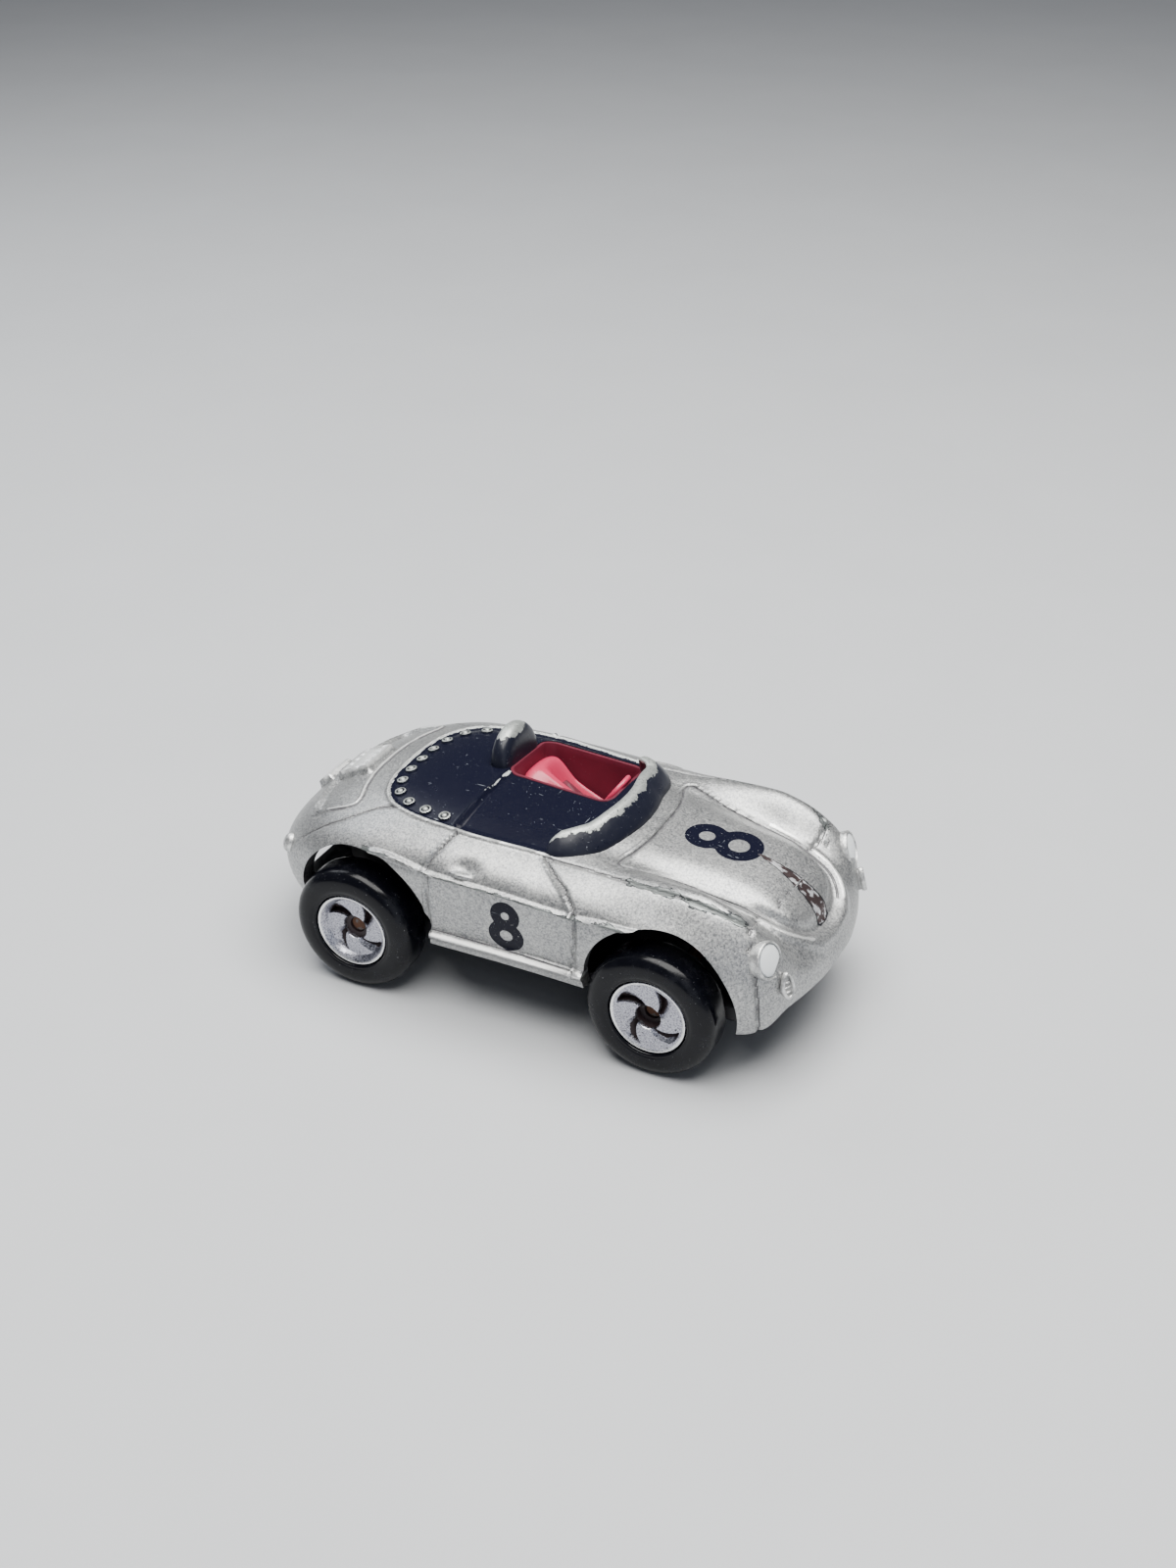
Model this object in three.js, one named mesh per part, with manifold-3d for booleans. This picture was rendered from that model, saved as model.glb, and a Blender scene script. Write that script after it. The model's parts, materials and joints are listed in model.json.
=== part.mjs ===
// A pull-back toy roadster: a painted shell over a red tub, a black chassis and a spring motor.
// Millimetres. +X is the nose, +Y the left side, +Z up. The origin is on the ground under the middle.
import * as THREE from "three";
import { mergeVertices } from "three/addons/utils/BufferGeometryUtils.js";
import Module from "manifold-3d";

const wasm = await Module();
wasm.setup();

// ---- Driving dimensions --------------------------------------------------------------------
const HALF_LENGTH = 17.25; // nose and tail tips
const SHELL = 0.8; // wall of the body shell
const FIT = 0.05; // gap between parts that sit on each other
const PLAY = 0.08; // radial play of a shaft in its bearing
const PRESS = 0.02; // hairline between a shaft and what is pressed on it
const THROUGH = [-5, 5]; // along Y, right through the motor

const FRONT_AXLE_X = 9.28;
const REAR_AXLE_X = -9.68;
const WHEEL_R = 3.885; // tyre radius, so also the height of the axles
const WHEEL_FACE = 8.8; // outer face of a tyre
const TYRE_WIDTH = 2.5;
const HUB_R = 2.3;
const HUB_HOLE_R = 0.75;
const AXLE_R = 0.45;
const AXLE_END = 7.75;
const REAR_DISH = 0.25; // how much deeper the rear hubs are dished
const WHEEL_SEGMENTS = 28;

// Tyre section: [radius, distance in from the outer face]. The hub's seat comes first and last.
const TYRE_SECTION = [[2.35, 2.3], [2.65, 2.5], [3.4, 2.5], [3.78, 2.3], [WHEEL_R, 1.9],
  [WHEEL_R, 0.85], [3.7, 0.4], [3.35, 0.06], [3.0, 0], [2.6, 0.04], [2.35, 0.2]];

const HUB = { back: 6.6, step: 7.1, boss: 1.3, spread: 1.5, face: 8.45, rim: 8.65, lip: 0.25, bevel: 0.1,
  bore: 0.48, seat: 7.85 };
const HUB_SLOT = { count: 4, depth: 0.5 };
// Outline of one slot: [radius, angle in radians from the slot's start].
const HUB_SLOT_OUTLINE = [[1.15, 0.1], [1.82, 0.2], [1.88, 0.6], [1.82, 1.0], [1.15, 0.55]];

const FRONT_ARCH = { x: 9.6, z: 4.75, r: 4.6 };
const REAR_ARCH = { x: -9.15, z: 4.9, r: 4.5 };
const ARCH_Y = [5.0, 10]; // the arches cut the shell between these half widths

const COCKPIT = { back: -4.1, front: 2.7, inner: 0.15, outer: 5.5, corner: 0.9, cut: [9, 14] };
const HEADREST = { back: -5.25, front: -3.95, middle: 2.45, half: 2.1, foot: 10.6, top: 13.3, bevel: 0.3,
  taper: 0.85, bulge: 0.7, steps: 12 };
const SCREEN = { front: 5.3, half: 5.95, sweep: 8.5, curl: 0.8, height: 1.3, drop: 0.3, lean: 1.6,
  narrowing: 0.06, thick: 0.6, steps: 14 };

const TUB = { floor: 6.3, rim: 10.3, wall: 0.5, back: -2.45, shelf: 9.05, deep: -4.3, front: 3.3,
  sides: [0.05, 5.65], gap: 0.15 };
const SEAT = { middle: 2.85, half: 1.9, front: 1.2, cushion: 7.0, shoulder: 9.0, thick: 0.8, lean: -0.3,
  taper: 0.96, steps: 10 };
const STEERING = { at: [2.75, 2.85, 9.3], radius: 0.95, grip: 0.17, tilt: 112, column: [0.2, 1.1],
  spoke: [0.3, 1.9, 0.22] };

const PLATE = { bottom: 3.2, top: 4.0, hole: [1, 5] }; // the chassis plate, which closes the shell
const KEEL = { bottom: 2.2, top: 3.3 }; // the narrower, lower part of the chassis
const PLATE_OUTLINE = [[15.4, 0], [15.3, 2.6], [14.9, 4.0], [14.2, 5.2], [13.6, 5.8], [5.0, 5.8], [4.6, 6.6],
  [-5.1, 6.6], [-5.5, 5.8], [-14.0, 5.8], [-15.0, 4.8], [-15.6, 3.4], [-15.6, 0]];
const KEEL_OUTLINE = [[14.6, 0], [14.4, 2.0], [13.6, 3.9], [12.8, 4.7], [5.0, 5.3], [-5.1, 5.3], [-13.6, 4.9],
  [-14.6, 4.2], [-15.2, 2.8], [-15.2, 0]];
const RAIL = { back: -5.0, front: 4.5, inner: 5.9, outer: 6.6, top: 5.0 };
const BEARING = { half: 1.3, inner: 4.5, outer: 5.7, top: 4.985, mouth: 2 };
const SCREW = { front: 13.5, rear: -14.4, shank: 0.45, head: 0.85, tall: 0.5, post: 1.15, tip: 5.7, hole: 6.1,
  slot: 0.28, slotDepth: 0.25 };

const GEAR_MODULE = 0.25;
const PINION_TEETH = 8;
const CLUTCH_TEETH = 16;
const CLUTCH_SMALL_TEETH = 8;
const SPRING_TEETH = 20;
const CLUTCH_BEARING = 86.2; // direction from the axle to the clutch gear, degrees above +X
const SPRING_BEARING = -28.7; // direction from the clutch gear to the spring gear
const CASE = { half: 4.2, wall: 0.5, room: 0.15 };
const PIN_R = 0.35;
const ARBOR_R = 0.45;
const DRUM_R = 1.1;
const TOOTH = { above: 0.2, below: 0.3 }; // reach of a tooth past its pitch circle, and of a gap inside it
const TOOTH_HALF = { root: 0.36, pitch: 0.215, tip: 0.1 }; // half widths, as shares of the pitch
const CASE_HOLES = [1, 5]; // out from the middle, right through a case half's end wall
const SPRING_STRIP = { inner: 1.45, outer: 2.6, turns: 4, thick: 0.12, steps: 18 };

// Body outline against x: height of the crown, half width, height of the widest line, bottom edge.
const CROWN = [[-17.25, 5.6], [-16.7, 7.2], [-15.2, 8.75], [-13, 10.05], [-10.4, 10.8], [-7.5, 11.35],
  [-4, 11.5], [0, 11.3], [3, 11.1], [6, 10.85], [10, 10.4], [12.7, 9.9], [14.8, 8.9], [16.1, 7.7],
  [16.9, 6.6], [17.25, 5.6]];
const WIDTH = [[-17.25, 0], [-16.6, 4.3], [-15.6, 6.0], [-14, 7.3], [-12, 8.1], [-9, 8.5], [-4, 8.45],
  [0, 8.4], [5, 8.4], [9, 8.6], [12, 8.5], [14, 8.0], [15.3, 7.1], [16.3, 5.3], [17, 2.95], [17.25, 0]];
const WIDEST = [[-17.25, 5.4], [-14.5, 6.2], [-9, 8.1], [0, 8.4], [9, 8.0], [14, 6.2], [17.25, 5.4]];
const BOTTOM = [[-17.25, 4.9], [-15.5, 4.4], [-9, 4.2], [0, 4.2], [9, 4.0], [14.5, 3.6], [15.4, 3.8],
  [16.2, 4.6], [17.25, 5.3]];
const FENDER = [[2, 0], [5, 0.25], [8.5, 0.75], [11.5, 1.2], [13.5, 1.1], [15, 0.8], [16.4, 0.3], [17.25, 0]];
const FENDER_Y = 6.1; // half distance between the ridges over the front wheels
const FENDER_SPREAD = 1.35;
const VALLEY_Y = 4.1; // half distance between the valleys beside the bonnet
const VALLEY_SPREAD = 0.95;
const VALLEY_SHARE = 0.5; // depth of a valley for a ridge of 1
const SHOULDER = 2.5; // exponent of the section's round shoulder
const TUCK = 0.5; // how far the sills pull in below the widest line
const TUCK_FADE = 4; // half width below which the tuck gets less
const SILL_STEPS = 3;
const THIN = 0.02; // least half width and height of a section
const TIPS = 0.985; // share of the length's half turn that the sections cover

// ---- Curves --------------------------------------------------------------------------------
const turn = (x) => Math.asin(THREE.MathUtils.clamp(x / HALF_LENGTH, -1, 1));

// Smooth monotone curve through a table of [x, value]. It runs over the angle whose sine is
// x / HALF_LENGTH, so that a table that falls to nothing at a tip makes that tip round.
function profile(table) {
  const knots = table.map(([x]) => turn(x));
  const values = table.map(([, value]) => value);
  const last = values.length - 1;
  const slopes = values.slice(1).map((value, i) => (value - values[i]) / (knots[i + 1] - knots[i]));
  const tangents = values.map((_, i) => {
    if (i === 0) return slopes[0];
    if (i === last) return slopes[last - 1];
    const before = slopes[i - 1];
    const after = slopes[i];
    return before * after <= 0 ? 0 : (2 * before * after) / (before + after);
  });
  return (x) => {
    const t = THREE.MathUtils.clamp(turn(x), knots[0], knots[last]);
    const i = Math.max(0, knots.findIndex((knot) => t <= knot) - 1);
    const span = knots[i + 1] - knots[i];
    const s = (t - knots[i]) / span;
    const rise = s * s * (3 - 2 * s);
    return (1 - rise) * values[i] + rise * values[i + 1]
      + s * (1 - s) * span * ((1 - s) * tangents[i] - s * tangents[i + 1]);
  };
}

const crown = profile(CROWN);
const width = profile(WIDTH);
const widest = profile(WIDEST);
const bottom = profile(BOTTOM);
const fender = profile(FENDER);

const bell = (distance, size) => Math.exp(-((distance / size) ** 2));
const ridge = (x, y) => fender(x)
  * (bell(Math.abs(y) - FENDER_Y, FENDER_SPREAD)
    - VALLEY_SHARE * bell(Math.abs(y) - VALLEY_Y, VALLEY_SPREAD));

// Half of the body's section at x, from the sill up to the crown, inset by a wall thickness.
function halfSection(x, inset, steps) {
  const at = (x * HALF_LENGTH) / (HALF_LENGTH - inset);
  const half = Math.max(THIN, width(at) - inset);
  const middle = widest(at);
  const top = Math.max(middle + THIN, crown(at) - inset);
  const low = Math.min(middle - THIN, bottom(at));
  const tuck = TUCK * Math.min(1, half / TUCK_FADE);
  const points = [];
  for (let i = 0; i < SILL_STEPS; i++) {
    const s = i / SILL_STEPS;
    points.push([half - tuck * (1 - s) ** 2, low + (middle - low) * s]);
  }
  for (let i = 0; i <= steps; i++) {
    const angle = (Math.PI / 2) * (i / steps);
    const y = half * Math.abs(Math.cos(angle)) ** (2 / SHOULDER);
    const rise = (top - middle) * Math.sin(angle) ** (2 / SHOULDER);
    points.push([y, middle + rise + ridge(at, y)]);
  }
  return points;
}

// ---- Solids --------------------------------------------------------------------------------
// A manifold solid of a closed geometry, with its faces turned outward.
function solid(geometry) {
  geometry.deleteAttribute("normal");
  geometry.deleteAttribute("uv");
  const merged = mergeVertices(geometry, 1e-4);
  const position = merged.attributes.position;
  const index = merged.index.array;
  const corners = [new THREE.Vector3(), new THREE.Vector3(), new THREE.Vector3()];
  const triangles = [];
  let volume = 0;
  for (let i = 0; i < index.length; i += 3) {
    const [a, b, c] = index.slice(i, i + 3);
    if (a === b || b === c || c === a) continue;
    triangles.push([a, b, c]);
    [a, b, c].forEach((vertex, k) => corners[k].fromBufferAttribute(position, vertex));
    volume += corners[0].dot(corners[1].cross(corners[2]));
  }
  return new wasm.Manifold(new wasm.Mesh({
    numProp: 3,
    vertProperties: position.array,
    triVerts: new Uint32Array(triangles.flatMap(([a, b, c]) => (volume < 0 ? [a, c, b] : [a, b, c]))),
  }));
}

// A closed solid through rings that have the same count of points, with flat ends.
function loft(rings) {
  const count = rings[0].length;
  const index = [];
  for (let r = 0; r + 1 < rings.length; r++) {
    for (let i = 0; i < count; i++) {
      const a = r * count + i;
      const b = r * count + ((i + 1) % count);
      index.push(a, b, a + count, b, b + count, a + count);
    }
  }
  const last = (rings.length - 1) * count;
  for (let i = 1; i + 1 < count; i++) index.push(0, i + 1, i, last, last + i, last + i + 1);
  const geometry = new THREE.BufferGeometry();
  geometry.setAttribute("position", new THREE.Float32BufferAttribute(rings.flat(2), 3));
  geometry.setIndex(index);
  return solid(geometry);
}

function block([x0, x1], [y0, y1], [z0, z1]) {
  const geometry = new THREE.BoxGeometry(x1 - x0, y1 - y0, z1 - z0);
  return solid(geometry.translate((x0 + x1) / 2, (y0 + y1) / 2, (z0 + z1) / 2));
}

// A round bar along Y.
function bar(x, z, radius, [y0, y1], segments = 24) {
  const geometry = new THREE.CylinderGeometry(radius, radius, y1 - y0, segments);
  return solid(geometry.translate(x, (y0 + y1) / 2, z));
}

// A round post along Z.
function post(x, y, radius, [z0, z1], segments = 24) {
  const geometry = new THREE.CylinderGeometry(radius, radius, z1 - z0, segments).rotateX(Math.PI / 2);
  return solid(geometry.translate(x, y, (z0 + z1) / 2));
}

// An outline of [x, z] points, extruded along Y.
function sideways(points, [y0, y1]) {
  const shape = new THREE.Shape(points.map(([x, z]) => new THREE.Vector2(x, z)));
  const geometry = new THREE.ExtrudeGeometry(shape, { depth: y1 - y0, bevelEnabled: false });
  return solid(geometry.rotateX(Math.PI / 2).translate(0, y1, 0));
}

// An outline of [x, y] points, extruded along Z.
function upward(points, [z0, z1]) {
  const shape = new THREE.Shape(points.map(([x, y]) => new THREE.Vector2(x, y)));
  const geometry = new THREE.ExtrudeGeometry(shape, { depth: z1 - z0, bevelEnabled: false });
  return solid(geometry.translate(0, 0, z0));
}

// A closed profile of [radius, y] points, turned around the Y axis through x, z.
function turned(points, x, z, segments) {
  const loop = [...points, points[0]].map(([radius, y]) => new THREE.Vector2(radius, y));
  return solid(new THREE.LatheGeometry(loop, segments).translate(x, 0, z));
}

function circle(x, z, radius, count) {
  return Array.from({ length: count }, (_, i) => {
    const angle = (2 * Math.PI * i) / count;
    return [x + radius * Math.cos(angle), z + radius * Math.sin(angle)];
  });
}

// The stretch of Y from a to b out from the middle, on one side.
const span = (side, a, b) => [side * a, side * b].sort((p, q) => p - q);

// The tight outline around a set of points, anticlockwise.
function wrap(points) {
  const sorted = [...points].sort((a, b) => a[0] - b[0] || a[1] - b[1]);
  const chain = (list) => list.reduce((kept, p) => {
    const turnsRight = () => {
      const [a, b] = kept.slice(-2);
      return (b[0] - a[0]) * (p[1] - a[1]) - (b[1] - a[1]) * (p[0] - a[0]) <= 0;
    };
    while (kept.length > 1 && turnsRight()) kept.pop();
    return [...kept, p];
  }, []).slice(0, -1);
  return [...chain(sorted), ...chain(sorted.reverse())];
}

function roundedRectangle([x0, x1], [y0, y1], radius, steps = 4) {
  const corners = [[x1 - radius, y1 - radius], [x0 + radius, y1 - radius],
    [x0 + radius, y0 + radius], [x1 - radius, y0 + radius]];
  return corners.flatMap(([cx, cy], quarter) => Array.from({ length: steps + 1 }, (_, i) => {
    const angle = (Math.PI / 2) * (quarter + i / steps);
    return [cx + radius * Math.cos(angle), cy + radius * Math.sin(angle)];
  }));
}

// ---- Body shell ----------------------------------------------------------------------------
// The body's volume, inset by a wall. An open bottom reaches down by drop.
function bodyVolume(inset, stations, steps, drop = 0) {
  const rings = [];
  for (let s = 0; s <= stations; s++) {
    const x = (HALF_LENGTH - inset) * Math.sin((s / stations - 0.5) * TIPS * Math.PI);
    const half = halfSection(x, inset, steps);
    if (drop > 0) half.unshift([half[0][0], half[0][1] - drop]);
    const right = half.map(([y, z]) => [x, -y, z]);
    const left = half.slice(0, -1).reverse().map(([y, z]) => [x, y, z]);
    rings.push([...right, ...left]);
  }
  return loft(rings);
}

// A low band around the front of the cockpit, leaning back.
function windscreen() {
  const rings = [];
  for (let i = 0; i <= SCREEN.steps; i++) {
    const side = (2 * i) / SCREEN.steps - 1;
    const y = SCREEN.half * Math.sin((side * Math.PI) / 2);
    const x = SCREEN.front - SCREEN.sweep * (1 - Math.sqrt(1 - (SCREEN.curl * side) ** 2));
    const foot = widest(x) + (crown(x) - widest(x))
      * (1 - Math.abs(y / width(x)) ** SHOULDER) ** (1 / SHOULDER);
    const low = foot - SHELL / 2;
    const fall = 1 - SCREEN.drop * side ** 2;
    const top = foot + SCREEN.height * fall;
    const lean = SCREEN.lean * fall;
    const narrow = 1 - SCREEN.narrowing * Math.abs(side);
    rings.push([[x, y, low], [x - SCREEN.thick, y, low],
      [x - lean - SCREEN.thick, y * narrow, top], [x - lean, y * narrow, top]]);
  }
  return loft(rings);
}

// The headrest fairing behind the driver, a half-round hump.
function headrest() {
  const { back, front, middle, half, foot, top, bevel, taper, bulge, steps } = HEADREST;
  const rim = Array.from({ length: steps + 1 }, (_, i) => {
    const angle = (Math.PI * i) / steps;
    const up = Math.sin(angle) ** bulge;
    return [middle + half * Math.cos(angle), foot + (top - foot) * up];
  });
  const ring = (x, shrink) => rim.map(([y, z]) => [x, middle + (y - middle) * shrink,
    foot + (z - foot) * shrink]);
  return loft([ring(back, taper), ring(back + bevel, 1), ring(front - bevel, 1), ring(front, taper)]);
}

const outside = bodyVolume(0, 36, 10);
const shellRoom = bodyVolume(SHELL, 24, 8, 3);

function arch({ x, z, r }, side) {
  return bar(x, z, r, span(side, ...ARCH_Y), 40);
}

function bodyShell() {
  const { back, front, inner, outer, corner, cut } = COCKPIT;
  let shell = outside.subtract(shellRoom).add(headrest()).add(windscreen());
  for (const x of [SCREW.front, SCREW.rear]) {
    shell = shell.add(post(x, 0, SCREW.post, [PLATE.top + FIT, crown(x) + 1]).intersect(outside));
  }
  for (const side of [-1, 1]) {
    shell = shell.subtract(arch(FRONT_ARCH, side)).subtract(arch(REAR_ARCH, side));
  }
  const well = upward(roundedRectangle([back, front], [inner, outer], corner), cut);
  shell = shell.subtract(well);
  for (const x of [SCREW.front, SCREW.rear]) {
    shell = shell.subtract(post(x, 0, SCREW.shank + FIT, [0, SCREW.hole], 16));
  }
  return shell;
}

// ---- Interior ------------------------------------------------------------------------------
function interiorTub() {
  const { floor, rim, wall, back, shelf, deep, front, sides, gap } = TUB;
  const outline = [[back, floor - wall], [front + wall, floor - wall], [front + wall, rim],
    [deep - wall, rim], [deep - wall, shelf - wall], [back, shelf - wall]];
  const room = [[back + wall, floor], [front, floor], [front, rim + 1], [deep, rim + 1],
    [deep, shelf], [back + wall, shelf]];
  const tub = sideways(outline, [sides[0] - wall, sides[1] + wall])
    .subtract(sideways(room, sides));
  return tub.add(seat()).add(steeringWheel()).intersect(bodyVolume(SHELL + gap, 24, 8));
}

// A bucket seat: a low cushion and a back with a round top.
function seat() {
  const { middle, half, front, cushion, shoulder, thick, lean, taper, steps } = SEAT;
  const base = block([TUB.back, front], [middle - half, middle + half], [TUB.floor - FIT, cushion]);
  const rim = Array.from({ length: steps + 1 }, (_, i) => {
    const angle = (Math.PI * i) / steps;
    return [middle + half * Math.cos(angle), shoulder + half * Math.sin(angle)];
  });
  const outline = [[middle + half, TUB.floor], ...rim, [middle - half, TUB.floor]];
  const ring = (x, shrink) => outline.map(([y, z]) => [x + lean * (z - TUB.floor),
    middle + (y - middle) * shrink, z - (1 - shrink) * (z - TUB.floor)]);
  return base.add(loft([ring(TUB.back - FIT, taper), ring(TUB.back - FIT + thick, 1)]));
}

// A small wheel on a column that stands out of the front wall.
function steeringWheel() {
  const { at, radius, grip, tilt, column, spoke } = STEERING;
  const [thick, long] = column;
  const angle = THREE.MathUtils.degToRad(tilt);
  const rim = new THREE.TorusGeometry(radius, grip, 8, 20).rotateY(angle);
  const rod = new THREE.CylinderGeometry(thick, thick, long, 10).rotateX(Math.PI / 2)
    .translate(0, 0, long / 2).rotateY(angle);
  const bridge = new THREE.BoxGeometry(...spoke).rotateY(angle - Math.PI / 2);
  return [rim, rod, bridge].map((g) => solid(g.translate(...at)))
    .reduce((all, piece) => all.add(piece));
}

// ---- Chassis -------------------------------------------------------------------------------
const CASE_WINDOW = { back: -12.5, front: -2.65, half: CASE.half + CASE.room };

// A flat slab from its half outline, which runs from the nose to the tail.
function slab(half, ends) {
  return upward([...half, ...half.slice(1, -1).reverse().map(([x, y]) => [x, -y])], ends);
}

function chassisPlate() {
  let plate = slab(PLATE_OUTLINE, [PLATE.bottom, PLATE.top]);
  plate = plate.add(slab(KEEL_OUTLINE, [KEEL.bottom, KEEL.top]));
  const room = AXLE_R + PLAY;
  for (const side of [-1, 1]) {
    const rail = span(side, RAIL.inner, RAIL.outer);
    plate = plate.add(block([RAIL.back, RAIL.front], rail, [PLATE.bottom, RAIL.top]));
    for (const x of [FRONT_AXLE_X, REAR_AXLE_X]) {
      const ends = span(side, BEARING.inner, BEARING.outer);
      plate = plate.add(block([x - BEARING.half, x + BEARING.half], ends, [PLATE.bottom, BEARING.top]));
    }
  }
  for (const x of [FRONT_AXLE_X, REAR_AXLE_X]) {
    plate = plate.subtract(bar(x, WHEEL_R, room, [-AXLE_END, AXLE_END]))
      .subtract(block([x - room, x + room], [-AXLE_END, AXLE_END], [WHEEL_R, WHEEL_R + BEARING.mouth]));
  }
  const { back, front, half: reach } = CASE_WINDOW;
  plate = plate.subtract(block([back, front], [-reach, reach], PLATE.hole));
  for (const x of [SCREW.front, SCREW.rear]) {
    plate = plate.subtract(post(x, 0, SCREW.shank + 2 * FIT, PLATE.hole, 16));
  }
  return plate;
}

function chassisScrew(x) {
  const top = KEEL.bottom - FIT;
  const low = top - SCREW.tall;
  const head = post(x, 0, SCREW.head, [low, top], 20);
  const slot = block([x - SCREW.post, x + SCREW.post], [-SCREW.slot / 2, SCREW.slot / 2],
    [low - FIT, low + SCREW.slotDepth]);
  return head.add(post(x, 0, SCREW.shank, [low + SCREW.slotDepth, SCREW.tip], 16)).subtract(slot);
}

// ---- Wheels --------------------------------------------------------------------------------
const axleRod = (x) => bar(x, WHEEL_R, AXLE_R, [-AXLE_END, AXLE_END], 16);

function tyre(x, side) {
  const points = TYRE_SECTION.map(([radius, inward]) => [radius, side * (WHEEL_FACE - inward)]);
  return turned(points, x, WHEEL_R, WHEEL_SEGMENTS);
}

// A dished hub with swept slots around its centre hole.
function hub(x, side, dish) {
  const face = HUB.face - dish;
  const points = [[HUB.bore, HUB.back], [HUB.boss, HUB.back], [HUB.spread, HUB.step], [HUB_R, HUB.step],
    [HUB_R, HUB.rim], [HUB_R - HUB.lip, HUB.rim], [HUB_R - HUB.lip - HUB.bevel, face],
    [HUB_HOLE_R, face], [HUB_HOLE_R, HUB.seat], [HUB.bore, HUB.seat]];
  let disc = turned(points.map(([radius, y]) => [radius, side * y]), x, WHEEL_R, WHEEL_SEGMENTS);
  for (let i = 0; i < HUB_SLOT.count; i++) {
    const start = (2 * Math.PI * i) / HUB_SLOT.count;
    const outline = HUB_SLOT_OUTLINE.map(([radius, lag]) => [x + radius * Math.cos(start + lag),
      WHEEL_R + radius * Math.sin(start + lag)]);
    disc = disc.subtract(sideways(outline, span(side, face - HUB_SLOT.depth, WHEEL_FACE)));
  }
  return disc;
}

// ---- Spring motor --------------------------------------------------------------------------
const radians = THREE.MathUtils.degToRad;
const pitchRadius = (teeth) => (GEAR_MODULE * teeth) / 2;

function step([x, z], direction, distance) {
  return [x + distance * Math.cos(radians(direction)), z + distance * Math.sin(radians(direction))];
}

const AXLE_AT = [REAR_AXLE_X, WHEEL_R];
const CLUTCH_AT = step(AXLE_AT, CLUTCH_BEARING, pitchRadius(PINION_TEETH) + pitchRadius(CLUTCH_TEETH));
const SPRING_AT = step(CLUTCH_AT, SPRING_BEARING,
  pitchRadius(CLUTCH_SMALL_TEETH) + pitchRadius(SPRING_TEETH));

const PINION_Y = [-3.35, -1.95];
const CLUTCH_Y = [-3.2, -2.1];
const CLUTCH_SMALL_Y = [-2.2, -0.6];
const SPRING_GEAR_Y = [-1.75, -0.75];
const DRUM_Y = [-0.85, 3.3];
const SPRING_Y = [-0.45, 3.1];

// A spur gear with a tooth centred at angle phase in the XZ plane.
function gear([x, z], teeth, phase, ends) {
  const pitch = (2 * Math.PI) / teeth;
  const radius = pitchRadius(teeth);
  const rising = [[radius - TOOTH.below, -TOOTH_HALF.root], [radius, -TOOTH_HALF.pitch],
    [radius + TOOTH.above, -TOOTH_HALF.tip]];
  const flank = [...rising, ...rising.map(([r, part]) => [r, -part]).reverse()];
  const outline = [];
  for (let tooth = 0; tooth < teeth; tooth++) {
    for (const [r, part] of flank) {
      const angle = phase + pitch * (tooth + part);
      outline.push([x + r * Math.cos(angle), z + r * Math.sin(angle)]);
    }
  }
  return sideways(outline, ends);
}

const facing = (direction) => radians(direction) + Math.PI;

function drivePinion() {
  return gear(AXLE_AT, PINION_TEETH, radians(CLUTCH_BEARING), PINION_Y)
    .subtract(bar(...AXLE_AT, AXLE_R + PRESS, THROUGH, 16));
}

function clutchGear() {
  const gap = facing(CLUTCH_BEARING) + Math.PI / CLUTCH_TEETH;
  return gear(CLUTCH_AT, CLUTCH_TEETH, gap, CLUTCH_Y)
    .add(gear(CLUTCH_AT, CLUTCH_SMALL_TEETH, radians(SPRING_BEARING), CLUTCH_SMALL_Y))
    .subtract(bar(...CLUTCH_AT, PIN_R + FIT, THROUGH, 16));
}

function springGear() {
  const gap = facing(SPRING_BEARING) + Math.PI / SPRING_TEETH;
  return gear(SPRING_AT, SPRING_TEETH, gap, SPRING_GEAR_Y)
    .add(bar(...SPRING_AT, DRUM_R, DRUM_Y, 20))
    .subtract(bar(...SPRING_AT, ARBOR_R + FIT, THROUGH, 16));
}

// The flat spring, run down: a strip wound in a spiral around the drum.
function mainspring() {
  const { inner, outer, turns, thick, steps } = SPRING_STRIP;
  const count = turns * steps;
  const side = (offset) => Array.from({ length: count + 1 }, (_, i) => {
    const radius = inner + ((outer - inner) * i) / count + offset;
    const angle = (2 * Math.PI * turns * i) / count;
    return [SPRING_AT[0] + radius * Math.cos(angle), SPRING_AT[1] + radius * Math.sin(angle)];
  });
  return sideways([...side(thick / 2), ...side(-thick / 2).reverse()], SPRING_Y);
}

// The outline of the motor case, or of the room inside it when it is inset by the wall.
function caseOutline(inset) {
  const around = ([x, z], teeth) => circle(x, z,
    pitchRadius(teeth) + TOOTH.above + CASE.room + CASE.wall - inset, 28);
  return wrap([...around(AXLE_AT, PINION_TEETH), ...around(CLUTCH_AT, CLUTCH_TEETH),
    ...around(SPRING_AT, SPRING_TEETH)]);
}

function motorCase(side) {
  return sideways(caseOutline(0), span(side, FIT / 2, CASE.half))
    .subtract(sideways(caseOutline(CASE.wall), span(side, 0, CASE.half - CASE.wall)))
    .subtract(bar(...AXLE_AT, AXLE_R + PLAY, span(side, ...CASE_HOLES), 20))
    .subtract(bar(...CLUTCH_AT, PIN_R + FIT, span(side, ...CASE_HOLES), 16))
    .subtract(bar(...SPRING_AT, ARBOR_R + FIT, span(side, ...CASE_HOLES), 16));
}

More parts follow.
